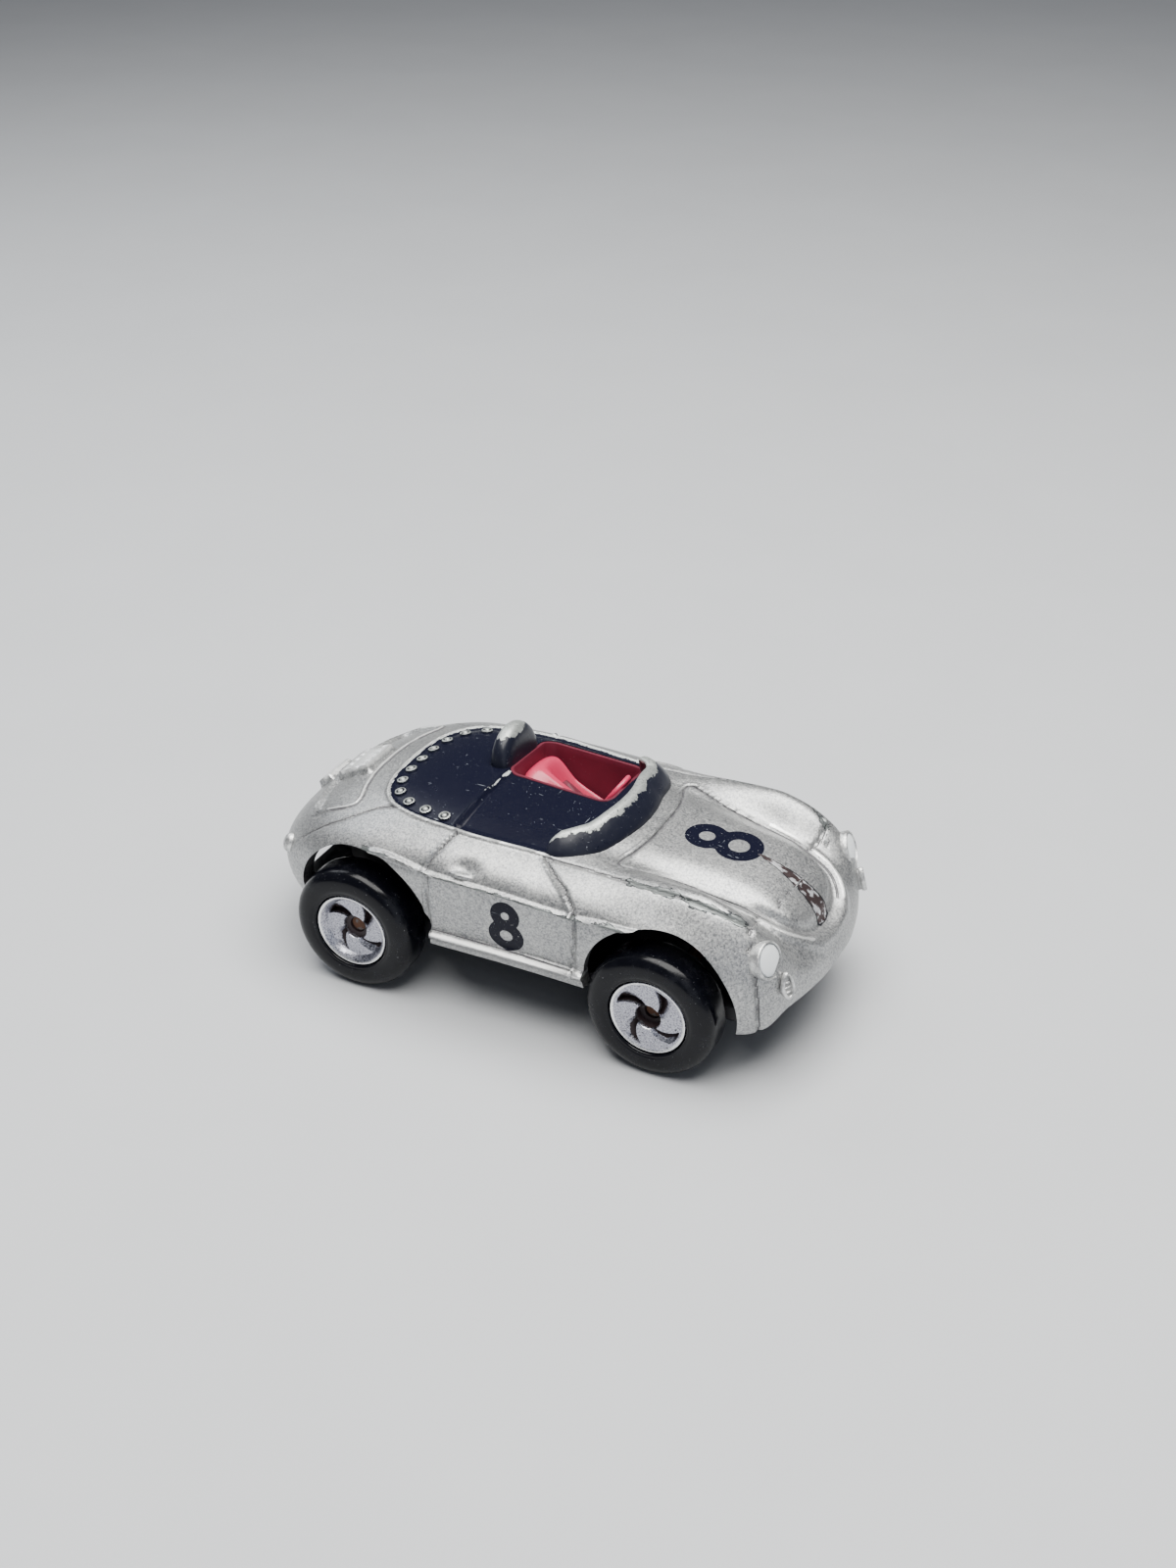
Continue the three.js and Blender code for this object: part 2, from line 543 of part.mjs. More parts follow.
// ---- Assembly ------------------------------------------------------------------------------
const PAINT = { color: 0xb9bbbd, roughness: 0.42, metalness: 0.7 };
const RED = { color: 0xb5303c, roughness: 0.4, metalness: 0 };
const BLACK = { color: 0x111114, roughness: 0.45, metalness: 0 };
const RUBBER = { color: 0x0c0c0f, roughness: 0.5, metalness: 0 };
const PLATED = { color: 0xc9ccd0, roughness: 0.2, metalness: 1 };
const STEEL = { color: 0x8b8d90, roughness: 0.35, metalness: 1 };
const NYLON = { color: 0xe7e3d6, roughness: 0.55, metalness: 0 };

const group = new THREE.Group();

function add(name, shape, finish) {
  const { vertProperties, triVerts } = shape.getMesh();
  const geometry = new THREE.BufferGeometry();
  geometry.setAttribute("position", new THREE.Float32BufferAttribute(vertProperties, 3));
  geometry.setIndex(new THREE.Uint32BufferAttribute(triVerts, 1));
  geometry.computeVertexNormals();
  const mesh = new THREE.Mesh(geometry, new THREE.MeshStandardMaterial(finish));
  mesh.name = name;
  group.add(mesh);
}

add("body_shell", bodyShell(), PAINT);
add("interior_tub", interiorTub(), RED);
add("chassis_plate", chassisPlate(), BLACK);
add("chassis_screw_front", chassisScrew(SCREW.front), STEEL);
add("chassis_screw_rear", chassisScrew(SCREW.rear), STEEL);
add("front_axle", axleRod(FRONT_AXLE_X), STEEL);
add("rear_axle", axleRod(REAR_AXLE_X), STEEL);
for (const [end, x, dish] of [["front", FRONT_AXLE_X, 0], ["rear", REAR_AXLE_X, REAR_DISH]]) {
  for (const [name, side] of [["left", 1], ["right", -1]]) {
    add(`tyre_${end}_${name}`, tyre(x, side), RUBBER);
    add(`hub_${end}_${name}`, hub(x, side, dish), PLATED);
  }
}
add("motor_case_left", motorCase(1), BLACK);
add("motor_case_right", motorCase(-1), BLACK);
add("drive_pinion", drivePinion(), NYLON);
add("clutch_gear", clutchGear(), NYLON);
add("clutch_gear_pin", bar(...CLUTCH_AT, PIN_R, [-CASE.half, CASE.half], 16), STEEL);
add("spring_gear", springGear(), NYLON);
add("spring_arbor", bar(...SPRING_AT, ARBOR_R, [-CASE.half, CASE.half], 16), STEEL);
add("mainspring", mainspring(), STEEL);

export default group;
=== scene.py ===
"""The looks of a pull-back toy roadster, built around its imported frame.

Shapes are worked out in millimetres in the frame's axes (+X nose, +Y left, +Z up) and scaled to
metres when a mesh is made. Left-right symmetric outlines are given for one side.
"""

import json
from math import cos, hypot, pi, radians, sin, sqrt

import bmesh
import bpy
import numpy as np
from mathutils import Matrix, Vector, kdtree

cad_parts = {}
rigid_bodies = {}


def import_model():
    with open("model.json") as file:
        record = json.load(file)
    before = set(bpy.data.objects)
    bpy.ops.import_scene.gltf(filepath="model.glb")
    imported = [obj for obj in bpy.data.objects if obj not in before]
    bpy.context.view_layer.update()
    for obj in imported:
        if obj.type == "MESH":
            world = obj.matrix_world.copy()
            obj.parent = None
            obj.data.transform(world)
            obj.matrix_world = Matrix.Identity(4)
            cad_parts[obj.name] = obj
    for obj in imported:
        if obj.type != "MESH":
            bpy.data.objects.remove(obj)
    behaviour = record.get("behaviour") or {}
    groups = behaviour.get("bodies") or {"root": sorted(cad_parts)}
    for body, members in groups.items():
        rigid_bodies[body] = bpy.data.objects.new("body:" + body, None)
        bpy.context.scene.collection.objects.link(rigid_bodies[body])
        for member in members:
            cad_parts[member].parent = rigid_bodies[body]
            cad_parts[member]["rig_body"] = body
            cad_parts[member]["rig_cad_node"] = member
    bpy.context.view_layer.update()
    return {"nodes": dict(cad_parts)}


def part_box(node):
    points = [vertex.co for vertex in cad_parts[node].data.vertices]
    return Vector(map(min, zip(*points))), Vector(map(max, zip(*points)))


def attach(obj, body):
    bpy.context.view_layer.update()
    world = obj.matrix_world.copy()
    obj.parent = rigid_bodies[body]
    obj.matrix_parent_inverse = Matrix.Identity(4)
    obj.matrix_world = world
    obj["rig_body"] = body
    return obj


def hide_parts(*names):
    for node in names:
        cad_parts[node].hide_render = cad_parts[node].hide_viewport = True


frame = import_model()
MM = 0.001


def box_mm(node):
    """Lowest and highest corners of a CAD node, in millimetres."""
    return tuple(np.array(corner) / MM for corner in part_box(node))


def spread_mm(node):
    """The least and greatest distance of a node's box from the middle plane."""
    return sorted(abs(corner[1]) for corner in box_mm(node))


def centre_mm(node):
    low, high = box_mm(node)
    return (low + high) / 2


HALF = 17.25  # half the body's length, as in the design
WALL = 0.8
SHOULDER = 2.5  # exponent of a section's round shoulder
TUCK = 0.5  # how far the sills pull in

# ---- camera, floor and light

CAMERA_AT = Vector((47.9, -94.07, 74.02))
CAMERA_AHEAD = Vector((-0.4431, 0.8965, 0.0))
CAMERA_TILT = radians(30.53)
LENS_MM = 48.83
SENSOR_MM = 36.0


def add_camera():
    data = bpy.data.cameras.new("camera")
    data.sensor_width = SENSOR_MM
    data.lens = LENS_MM
    data.clip_start = 0.001
    data.clip_end = 20
    camera = bpy.data.objects.new("camera", data)
    down = Vector((0, 0, -1))
    look = CAMERA_AHEAD.normalized() * cos(CAMERA_TILT) + down * sin(CAMERA_TILT)
    camera.location = CAMERA_AT * MM
    camera.rotation_euler = look.to_track_quat("-Z", "Y").to_euler()
    bpy.context.scene.collection.objects.link(camera)
    bpy.context.scene.camera = camera


def add_area(name, at, aim, size, watts, colour=(1, 1, 1)):
    data = bpy.data.lights.new(name, "AREA")
    data.shape = "RECTANGLE"
    data.size, data.size_y = size
    data.energy = watts
    data.color = colour
    lamp = bpy.data.objects.new(name, data)
    lamp.location = Vector(at) * MM
    lamp.rotation_euler = (Vector(aim) - Vector(at)).to_track_quat("-Z", "Y").to_euler()
    bpy.context.scene.collection.objects.link(lamp)


def add_studio():
    world = bpy.data.worlds.new("studio")
    bpy.context.scene.world = world
    world.use_nodes = True
    world.node_tree.nodes["Background"].inputs["Color"].default_value = (0.8, 0.86, 1.0, 1)
    world.node_tree.nodes["Background"].inputs["Strength"].default_value = 0.16
    add_area("overhead", (20, -10, 200), (0, 0, 5), (0.22, 0.18), 1.35, (1.0, 0.99, 0.96))
    add_area("window", (-150, 60, 150), (0, 0, 6), (0.12, 0.1), 0.16, (0.92, 0.96, 1.0))
    add_area("fill", (120, -120, 60), (0, 0, 6), (0.14, 0.14), 0.035, (0.85, 0.9, 1.0))


# ---- material graphs


class Graph:
    """A node material, written as nested calls. Lengths in its textures are in millimetres."""

    def __init__(self, name):
        self.material = bpy.data.materials.new(name)
        self.material.use_nodes = True
        self.tree = self.material.node_tree
        self.tree.nodes.clear()
        self.output = self.tree.nodes.new("ShaderNodeOutputMaterial")
        at = self.node("ShaderNodeTexCoord").outputs["Object"]
        self.place = self.node("ShaderNodeVectorMath", operation="SCALE", Vector=at, Scale=1 / MM).outputs[0]

    def node(self, kind, operation=None, settings=None, **inputs):
        made = self.tree.nodes.new(kind)
        if operation:
            made.operation = operation
        for key, value in (settings or {}).items():
            setattr(made, key, value)
        for key, value in inputs.items():
            self.feed(made.inputs[key.replace("_", " ")], value)
        return made

    def feed(self, socket, value):
        if isinstance(value, bpy.types.NodeSocket):
            self.tree.links.new(value, socket)
        else:
            is_plain = socket.type == "RGBA" and len(value) == 3
            socket.default_value = (*value, 1) if is_plain else value

    def math(self, operation, a, b=0.0, clamp=False):
        made = self.node("ShaderNodeMath", operation)
        made.use_clamp = clamp
        self.feed(made.inputs[0], a)
        self.feed(made.inputs[1], b)
        return made.outputs[0]

    def times(self, a, b):
        return self.math("MULTIPLY", a, b)

    def plus(self, a, b):
        return self.math("ADD", a, b)

    def most(self, a, b):
        return self.math("MAXIMUM", a, b)

    def rest(self, value):
        return self.math("SUBTRACT", 1.0, value)

    def noise(self, size, detail=3.0, rough=0.55, seed=0.0, stretch=(1, 1, 1)):
        """Noise from 0 to 1, with features about size millimetres across."""
        place = self.place
        if seed or stretch != (1, 1, 1):
            place = self.node("ShaderNodeMapping", Vector=place, Scale=stretch,
                Location=(seed, seed * 0.7, seed * 1.3)).outputs[0]
        made = self.node("ShaderNodeTexNoise", Vector=place, Scale=1 / size, Detail=detail, Roughness=rough)
        return made.outputs["Fac"]

    def fray(self, value, amount, *noise):
        """A value with an amount of noise added to it."""
        return self.plus(value, self.times(self.noise(*noise), amount))

    def flakes(self, size):
        """A random value from 0 to 1 for each cell."""
        made = self.node("ShaderNodeTexVoronoi", Vector=self.place, Scale=1 / size)
        return self.node("ShaderNodeSeparateColor", Color=made.outputs["Color"]).outputs[0]

    def step(self, value, low, high):
        made = self.node("ShaderNodeMapRange", settings={"interpolation_type": "SMOOTHSTEP"}, Value=value,
            From_Min=low, From_Max=high)
        return made.outputs[0]

    def mix(self, factor, a, b, kind="RGBA", first=6, result=2):
        """Mixes two colours. The sockets of ShaderNodeMix differ with the kind of value."""
        made = self.node("ShaderNodeMix", settings={"data_type": kind})
        for index, value in ((0, factor), (first, a), (first + 1, b)):
            self.feed(made.inputs[index], value)
        return made.outputs[result]

    def blend(self, factor, a, b):
        return self.mix(factor, a, b, "FLOAT", 2, 0)

    def attribute(self, name):
        return self.node("ShaderNodeAttribute", settings={"attribute_name": name}).outputs["Fac"]

    def bump(self, height, depth_mm, normal=None):
        made = self.node("ShaderNodeBump", Height=height, Strength=1.0, Distance=depth_mm * MM)
        if normal:
            self.feed(made.inputs["Normal"], normal)
        return made.outputs[0]

    def surface(self, **inputs):
        shader = self.node("ShaderNodeBsdfPrincipled", **inputs)
        self.tree.links.new(shader.outputs[0], self.output.inputs[0])
        return self.material


def grey(value):
    return (value, value, value)


def scratches(g, seed):
    """Sparse fine scratches, from 0 to 1."""
    long = g.noise(0.16, 2.0, 0.5, seed, (0.12, 1.0, 1.0))
    other = g.noise(0.14, 2.0, 0.5, seed + 3, (1.0, 0.1, 1.0))
    return g.most(g.step(long, 0.72, 0.76), g.step(other, 0.74, 0.78))


CHIP_SHARE = 0.39  # how far the chip mask lifts the noise that makes the chips


def paint_material():
    """Silver enamel with flake, black panels, numbers, grime and painted shade in the lines, raised tops
    lightened by polish and a painted highlight, and worn edges.
    """
    g = Graph("silver_enamel")
    sparkle = g.flakes(0.075)
    speckle = g.step(g.noise(0.13, 3.0, 0.7, 30.0), 0.36, 0.64)
    cloud = g.step(g.noise(2.6, 3.0), 0.35, 0.65)
    tone = g.plus(g.times(sparkle, 0.35), g.times(speckle, 0.45))
    tone = g.plus(tone, g.times(cloud, 0.12))
    silver = g.mix(tone, (0.165, 0.17, 0.18), (0.62, 0.62, 0.605))
    # Raised tops turn near white: partly rubbed polish, partly a painted highlight.
    polish_and_highlight = g.step(g.fray(g.attribute("polish_and_highlight"), 0.6, 0.5, 4.0, 0.6, 51.0), 0.62, 0.92)
    silver = g.mix(polish_and_highlight, silver, (0.93, 0.93, 0.91))
    fleck = g.step(g.noise(0.16, 3.0, 0.6, 41.0), 0.675, 0.72)
    silver = g.mix(g.times(fleck, 0.55), silver, (0.1, 0.1, 0.1))
    # Grooves and panel lines are darkened: partly grime, partly painted shade for the shadow inside them.
    grime_and_shade = g.math("MULTIPLY", g.attribute("groove"), g.step(g.noise(0.7, 4.0), 0.2, 0.6), True)
    across = g.math("ABSOLUTE", g.attribute("line"))
    line = g.times(g.step(across, 0.085, 0.035), g.step(g.attribute("line_near"), 0.24, 0.16))
    dark_line = g.times(line, g.step(g.noise(0.6, 4.0, 0.5, 11.0), 0.15, 0.55))
    grime_and_shade = g.most(g.times(grime_and_shade, 0.45), g.times(dark_line, 0.92))
    silver = g.mix(grime_and_shade, silver, (0.05, 0.048, 0.055))

    black = g.step(g.fray(g.attribute("black"), 0.1, 0.25, 4.0), 0.06, 0.035)
    number = g.step(g.fray(g.attribute("number"), 0.04, 0.12, 3.0), 0.045, 0.02)
    pinhole = g.step(g.noise(0.09, 2.0, 0.5, 5.0), 0.7, 0.74)
    number = g.times(number, g.rest(pinhole))
    ink = g.most(black, number)
    dust = g.step(g.noise(0.11, 2.0, 0.6, 9.0), 0.715, 0.75)
    marks = g.most(dust, g.times(scratches(g, 2.0), 0.6))
    marks = g.times(marks, g.step(g.noise(1.9, 2.0), 0.42, 0.62))
    colour = g.mix(ink, silver, g.mix(marks, (0.0045, 0.005, 0.013), (0.34, 0.37, 0.4)))

    bare = g.step(g.fray(g.attribute("wear"), 0.9, 0.42, 5.0, 0.65), 1.22, 1.28)
    bare_tone = g.mix(g.noise(0.16, 3.0), (0.26, 0.27, 0.27), (0.66, 0.68, 0.66))
    colour = g.mix(bare, colour, bare_tone)
    chip_field = g.plus(g.times(g.attribute("chip"), CHIP_SHARE),
        g.noise(0.62, 5.0, 0.62, 14.0, (0.45, 1.0, 1.0)))
    chip = g.times(g.step(chip_field, 0.8, 0.82), g.rest(black))
    chip_tone = g.mix(g.step(chip_field, 0.84, 0.87), (0.03, 0.033, 0.036), (0.21, 0.225, 0.22))
    colour = g.mix(chip, colour, chip_tone)
    rub = g.fray(g.attribute("rub"), 0.3, 0.35, 4.0)
    rub_tone = g.mix(g.step(g.noise(0.3, 3.0, 0.5, 21.0, (0.22, 1.0, 1.0)), 0.4, 0.52), (0.84, 0.84, 0.86),
        (0.085, 0.06, 0.06))
    rub_tone = g.mix(g.step(rub, 0.52, 0.44), rub_tone, (0.045, 0.045, 0.05))
    colour = g.mix(g.step(rub, 0.3, 0.33), colour, rub_tone)

    rough = g.blend(ink, g.plus(0.32, g.times(sparkle, 0.16)), g.fray(0.16, 0.16, 0.6, 3.0))
    rough = g.blend(g.most(bare, grime_and_shade), rough, 0.55)
    metal = g.times(0.8, g.rest(g.most(ink, grime_and_shade)))
    skin = g.bump(g.noise(0.35, 2.0), 0.006)
    skin = g.bump(sparkle, 0.0022, skin)
    skin = g.bump(g.most(bare, chip), -0.018, skin)
    skin = g.bump(line, -0.05, skin)
    return g.surface(Base_Color=colour, Metallic=metal, Roughness=rough, Normal=skin,
        Specular_IOR_Level=g.blend(ink, 0.5, 0.14))


def black_trim_material():
    """Black enamel on a casting: worn through to grey metal wherever the wear mask is high."""
    g = Graph("black_enamel_worn")
    dust = g.step(g.noise(0.1, 2.0, 0.6, 4.0), 0.7, 0.745)
    base = g.mix(g.times(dust, 0.8), (0.007, 0.008, 0.016), (0.3, 0.32, 0.35))
    bare = g.step(g.fray(g.attribute("wear"), 1.1, 0.75, 5.0, 0.65), 1.22, 1.25)
    pitted = g.step(g.noise(0.12, 3.0, 0.6, 8.0), 0.6, 0.66)
    metal_tone = g.mix(g.noise(0.25, 3.0), (0.3, 0.32, 0.31), (0.56, 0.58, 0.55))
    metal_tone = g.mix(pitted, metal_tone, (0.05, 0.055, 0.06))
    colour = g.mix(bare, base, metal_tone)
    rough = g.blend(bare, g.fray(0.2, 0.22, 0.5), 0.48)
    skin = g.bump(g.noise(0.3, 3.0), 0.008)
    skin = g.bump(bare, -0.02, skin)
    return g.surface(Base_Color=colour, Metallic=g.times(bare, 0.7), Roughness=rough, Normal=skin,
        Specular_IOR_Level=0.35)


def rubber_material():
    g = Graph("tyre_rubber")
    scuff = g.step(g.noise(0.9, 5.0, 0.65), 0.45, 0.75)
    dust = g.step(g.noise(0.09, 2.0, 0.6, 6.0), 0.715, 0.75)
    colour = g.mix(scuff, (0.002, 0.0022, 0.004), (0.0055, 0.006, 0.009))
    colour = g.mix(g.times(dust, 0.75), colour, (0.33, 0.34, 0.36))
    rough = g.plus(0.17, g.times(scuff, 0.2))
    skin = g.bump(g.noise(0.12, 3.0), 0.004)
    return g.surface(Base_Color=colour, Roughness=rough, Normal=skin, Specular_IOR_Level=0.22)


def plated_material():
    """Bright plating, pitted and rubbed through to brown-black plastic in patches, darkened deep in the
    slots as painted shade, and lightened on its edges as a painted highlight.
    """
    g = Graph("worn_plating")
    pits = g.step(g.noise(0.17, 4.0, 0.65), 0.64, 0.68)
    # Deep places in the slots turn dark: painted shade, together with patches where the plating is rubbed
    # through.
    patch_and_slot_shade = g.step(g.plus(g.noise(0.8, 4.0, 0.6, 3.0), g.times(g.attribute("deep"), 0.34)), 0.68, 0.74)
    lost_and_shaded = g.most(pits, patch_and_slot_shade)
    grain = g.step(g.noise(0.09, 3.0, 0.7, 17.0), 0.35, 0.65)
    tone = g.mix(grain, (0.22, 0.22, 0.26), (0.56, 0.56, 0.62))
    # Rims and the lip round the centre hole are lightened: a painted highlight, with rubbed plating.
    edge = g.step(g.fray(g.attribute("edge"), 0.8, 0.5, 4.0), 1.0, 1.06)
    tone = g.mix(edge, tone, (0.9, 0.9, 0.9))
    lost_and_shaded = g.times(lost_and_shaded, g.rest(edge))
    colour = g.mix(lost_and_shaded, tone, (0.02, 0.01, 0.012))
    rough = g.blend(lost_and_shaded, g.plus(0.24, g.times(grain, 0.2)), 0.6)
    skin = g.bump(g.noise(0.25, 3.0), 0.01)
    skin = g.bump(lost_and_shaded, -0.02, skin)
    return g.surface(Base_Color=colour, Metallic=g.rest(lost_and_shaded), Roughness=rough, Normal=skin)


def plastic_material(name, dark, light, rough, grain_mm, coat=0.0):
    """Moulded plastic: slow colour drift, fine grain, dust and faint scuffs."""
    g = Graph(name)
    dust = g.step(g.noise(0.12, 2.0, 0.6, 7.0), 0.71, 0.76)
    colour = g.mix(g.noise(1.7, 3.0), dark, light)
    colour = g.mix(g.times(dust, 0.3), colour, (0.5, 0.5, 0.5))
    roughness = g.fray(rough, 0.18, 0.8, 4.0)
    skin = g.bump(g.noise(grain_mm, 3.0), 0.006)
    return g.surface(Base_Color=colour, Roughness=roughness, Normal=skin, Coat_Weight=coat)


def metal_material(name, tone, rust, rough):
    """Plain steel with drawn lines and some brown spotting."""
    g = Graph(name)
    lines = g.noise(0.12, 3.0, 0.6, 0.0, (1.0, 0.08, 1.0))
    spot = g.step(g.noise(0.45, 4.0, 0.65), rust, rust + 0.1)
    colour = g.mix(lines, grey(tone * 0.7), grey(tone * 1.2))
    colour = g.mix(spot, colour, (0.11, 0.045, 0.022))
    roughness = g.blend(spot, g.plus(rough, g.times(lines, 0.2)), 0.8)
    skin = g.bump(lines, 0.003)
    return g.surface(Base_Color=colour, Metallic=g.rest(spot), Roughness=roughness, Normal=skin)


def lamp_material():
    """White enamel of the headlight discs, darker towards the rim as painted shade."""
    g = Graph("white_enamel")
    # Painted shade: the disc darkens towards its rim, under the ring.
    rim_shade = g.step(g.fray(g.attribute("rim"), 0.5, 0.3, 4.0), 0.85, 1.2)
    colour = g.mix(g.noise(0.8, 3.0), (0.7, 0.74, 0.76), (0.86, 0.88, 0.88))
    colour = g.mix(rim_shade, colour, (0.3, 0.32, 0.34))
    rough = g.fray(0.22, 0.2, 0.2)
    skin = g.bump(g.noise(0.4, 2.0), 0.008)
    return g.surface(Base_Color=colour, Roughness=rough, Normal=skin, Coat_Weight=0.3)


def floor_material():
    g = Graph("pale_floor")
    colour = g.mix(g.noise(14.0, 4.0), (0.47, 0.48, 0.495), (0.51, 0.52, 0.535))
    return g.surface(Base_Color=colour, Roughness=g.fray(0.6, 0.15, 3.0))


# ---- mesh helpers


def new_mesh(name, points_mm, faces, material=None):
    """An object from points in millimetres. The faces list may mix triangles, quads and more."""
    mesh = bpy.data.meshes.new(name)
    mesh.from_pydata((np.asarray(points_mm, float) * MM).tolist(), [], faces)
    mesh.validate()
    made = bpy.data.objects.new(name, mesh)
    bpy.context.scene.collection.objects.link(made)
    if material:
        mesh.materials.append(material)
    return made


def coat(obj, material):
    """Gives an object one material."""
    obj.data.materials.clear()
    obj.data.materials.append(material)


def grid_faces(rows, columns, wrap_rows=False):
    """Quads between the rows of a grid of points. Each row is a ring."""
    row = np.arange(rows if wrap_rows else rows - 1)[:, None]
    column = np.arange(columns)[None, :]
    below = (row + 1) % rows
    beside = (column + 1) % columns
    corners = [row * columns + column, row * columns + beside, below * columns + beside,
        below * columns + column]
    return np.stack(np.broadcast_arrays(*corners), -1).reshape(-1, 4).tolist()


def smooth(obj, degrees=32):
    obj.data.shade_smooth()
    obj.data.set_sharp_from_angle(angle=radians(degrees))
    return obj


def outward(obj):
    """Turns the faces of a closed mesh outward."""
    work = bmesh.new()
    work.from_mesh(obj.data)
    bmesh.ops.recalc_face_normals(work, faces=work.faces)
    work.to_mesh(obj.data)
    work.free()
    return obj


def evaluated(obj):
    """Applies the object's modifiers."""
    graph = bpy.context.evaluated_depsgraph_get()
    old, obj.data = obj.data, bpy.data.meshes.new_from_object(obj.evaluated_get(graph))
    obj.modifiers.clear()
    bpy.data.meshes.remove(old)


def cut(obj, tool, operation="DIFFERENCE"):
    modifier = obj.modifiers.new("cut", "BOOLEAN")
    modifier.operation = operation
    modifier.solver = "MANIFOLD"
    modifier.object = tool
    evaluated(obj)
    bpy.data.objects.remove(tool)


def places_mm(obj):
    flat = np.empty(len(obj.data.vertices) * 3)
    obj.data.vertices.foreach_get("co", flat)
    return flat.reshape(-1, 3) / MM


def set_attribute(obj, name, values):
    made = obj.data.attributes.new(name, "FLOAT", "POINT")
    made.data.foreach_set("value", np.ascontiguousarray(values, np.float32))


def turns(count):
    """Evenly spaced angles of a whole turn."""
    return np.linspace(0, 2 * pi, count, endpoint=False)


def lengths(path):
    """Distance along a path to each of its points."""
    return np.concatenate([[0], np.cumsum(np.hypot(*np.diff(path, axis=0).T))])


def ease(value, low, high):
    t = np.clip((np.asarray(value, float) - low) / (high - low), 0, 1)
    return t * t * (3 - 2 * t)


def spline(points, steps=12, closed=False):
    """A smooth curve through a few points."""
    p = np.asarray(points, float)
    if closed:
        p = np.vstack([p[-1], p, p[:2]])
    else:
        p = np.vstack([2 * p[0] - p[1], p, 2 * p[-1] - p[-2]])
    out = []
    t = np.linspace(0, 1, steps, endpoint=False)[:, None]
    for a, b, c, d in zip(p, p[1:], p[2:], p[3:]):
        out.append(0.5 * (2 * b + (c - a) * t + (2 * a - 5 * b + 4 * c - d) * t ** 2
            + (3 * b - a - 3 * c + d) * t ** 3))
    if not closed:
        out.append(p[-2][None])
    return np.vstack(out)


def inside_distance(outline, x, y):
    """Signed distance to a closed outline: below zero inside it."""
    best = np.full(x.shape, 1e9)
    inside = np.zeros(x.shape, bool)
    for (ax, ay), (bx, by) in zip(outline, np.roll(outline, -1, 0)):
        ex, ey = bx - ax, by - ay
        t = np.clip(((x - ax) * ex + (y - ay) * ey) / (ex * ex + ey * ey + 1e-12), 0, 1)
        best = np.minimum(best, (x - ax - t * ex) ** 2 + (y - ay - t * ey) ** 2)
        crosses = (ay > y) != (by > y)
        with np.errstate(divide="ignore", invalid="ignore"):
            inside ^= crosses & (x < ex * (y - ay) / ey + ax)
    return np.where(inside, -1, 1) * np.sqrt(best)


# ---- the body's surface

CROWN = ((-17.25, 5.6), (-16.7, 7.2), (-15.2, 8.75), (-13, 10.05), (-10.4, 10.8), (-7.5, 11.35), (-4, 11.5),
    (0, 11.3), (3, 11.1), (6, 10.85), (10, 10.4), (12.7, 9.9), (14.8, 8.9), (16.1, 7.7), (16.9, 6.6),
    (17.25, 5.6))
WIDTH = ((-17.25, 0), (-16.6, 4.3), (-15.6, 6.0), (-14, 7.3), (-12, 8.1), (-9, 8.5), (-4, 8.45), (0, 8.4),
    (5, 8.4), (9, 8.6), (12, 8.5), (14, 8.0), (15.3, 7.1), (16.3, 5.3), (17, 2.95), (17.25, 0))
WIDEST = ((-17.25, 5.4), (-14.5, 6.2), (-9, 8.1), (0, 8.4), (9, 8.0), (14, 6.2), (17.25, 5.4))
BOTTOM = ((-17.25, 4.9), (-15.5, 4.4), (-9, 4.2), (0, 4.2), (9, 4.0), (14.5, 3.6), (15.4, 3.8), (16.2, 4.6),
    (17.25, 5.3))
FENDER = ((2, 0), (5, 0.25), (8.5, 0.75), (11.5, 1.2), (13.5, 1.1), (15, 0.8), (16.4, 0.3), (17.25, 0))
FENDER_Y = 6.1
VALLEY_Y = 4.1


def turn(x):
    return np.arcsin(np.clip(np.asarray(x, float) / HALF, -1, 1))


def profile(table):
    """Smooth monotone curve through a table, over the angle whose sine is x / HALF."""
    knots = turn([x for x, _ in table])
    values = np.array([value for _, value in table], float)
    slopes = np.diff(values) / np.diff(knots)
    before, after = slopes[:-1], slopes[1:]
    same = before * after > 0
    inner = np.where(same, 2 * before * after / np.where(same, before + after, 1), 0)
    tangents = np.concatenate([slopes[:1], inner, slopes[-1:]])

    def at(x):
        t = np.clip(turn(x), knots[0], knots[-1])
        i = np.clip(np.searchsorted(knots, t) - 1, 0, len(knots) - 2)
        span = knots[i + 1] - knots[i]
        s = (t - knots[i]) / span
        rise = s * s * (3 - 2 * s)
        return ((1 - rise) * values[i] + rise * values[i + 1] + s * (1 - s) * span
            * ((1 - s) * tangents[i] - s * tangents[i + 1]))
    return at


crown, width, widest = profile(CROWN), profile(WIDTH), profile(WIDEST)
bottom, fender = profile(BOTTOM), profile(FENDER)


def bell(distance, size):
    return np.exp(-((distance / size) ** 2))


def ridge(x, y):
    return fender(x) * (bell(np.abs(y) - FENDER_Y, 1.35) - 0.5 * bell(np.abs(y) - VALLEY_Y, 0.95))


def top_z(x, y):
    """Height of the body above a point in plan."""
    share = np.clip(np.abs(y) / np.maximum(width(x), 0.02), 0, 1) ** SHOULDER
    return widest(x) + (crown(x) - widest(x)) * (1 - share) ** (1 / SHOULDER) + ridge(x, y)


def side_y(x, z):
    """Half width of the body at a height."""
    middle, half = widest(x), width(x)
    y = half
    for _ in range(3):
        lifted = np.clip((z - ridge(x, y) - middle) / (crown(x) - middle), 0, 1) ** SHOULDER
        y = half * (1 - lifted) ** (1 / SHOULDER)
    low = np.minimum(middle - 0.02, bottom(x))
    s = np.clip((z - low) / (middle - low), 0, 1)
    return np.where(z > middle, y, half - TUCK * np.minimum(1, half / 4) * (1 - s) ** 2)


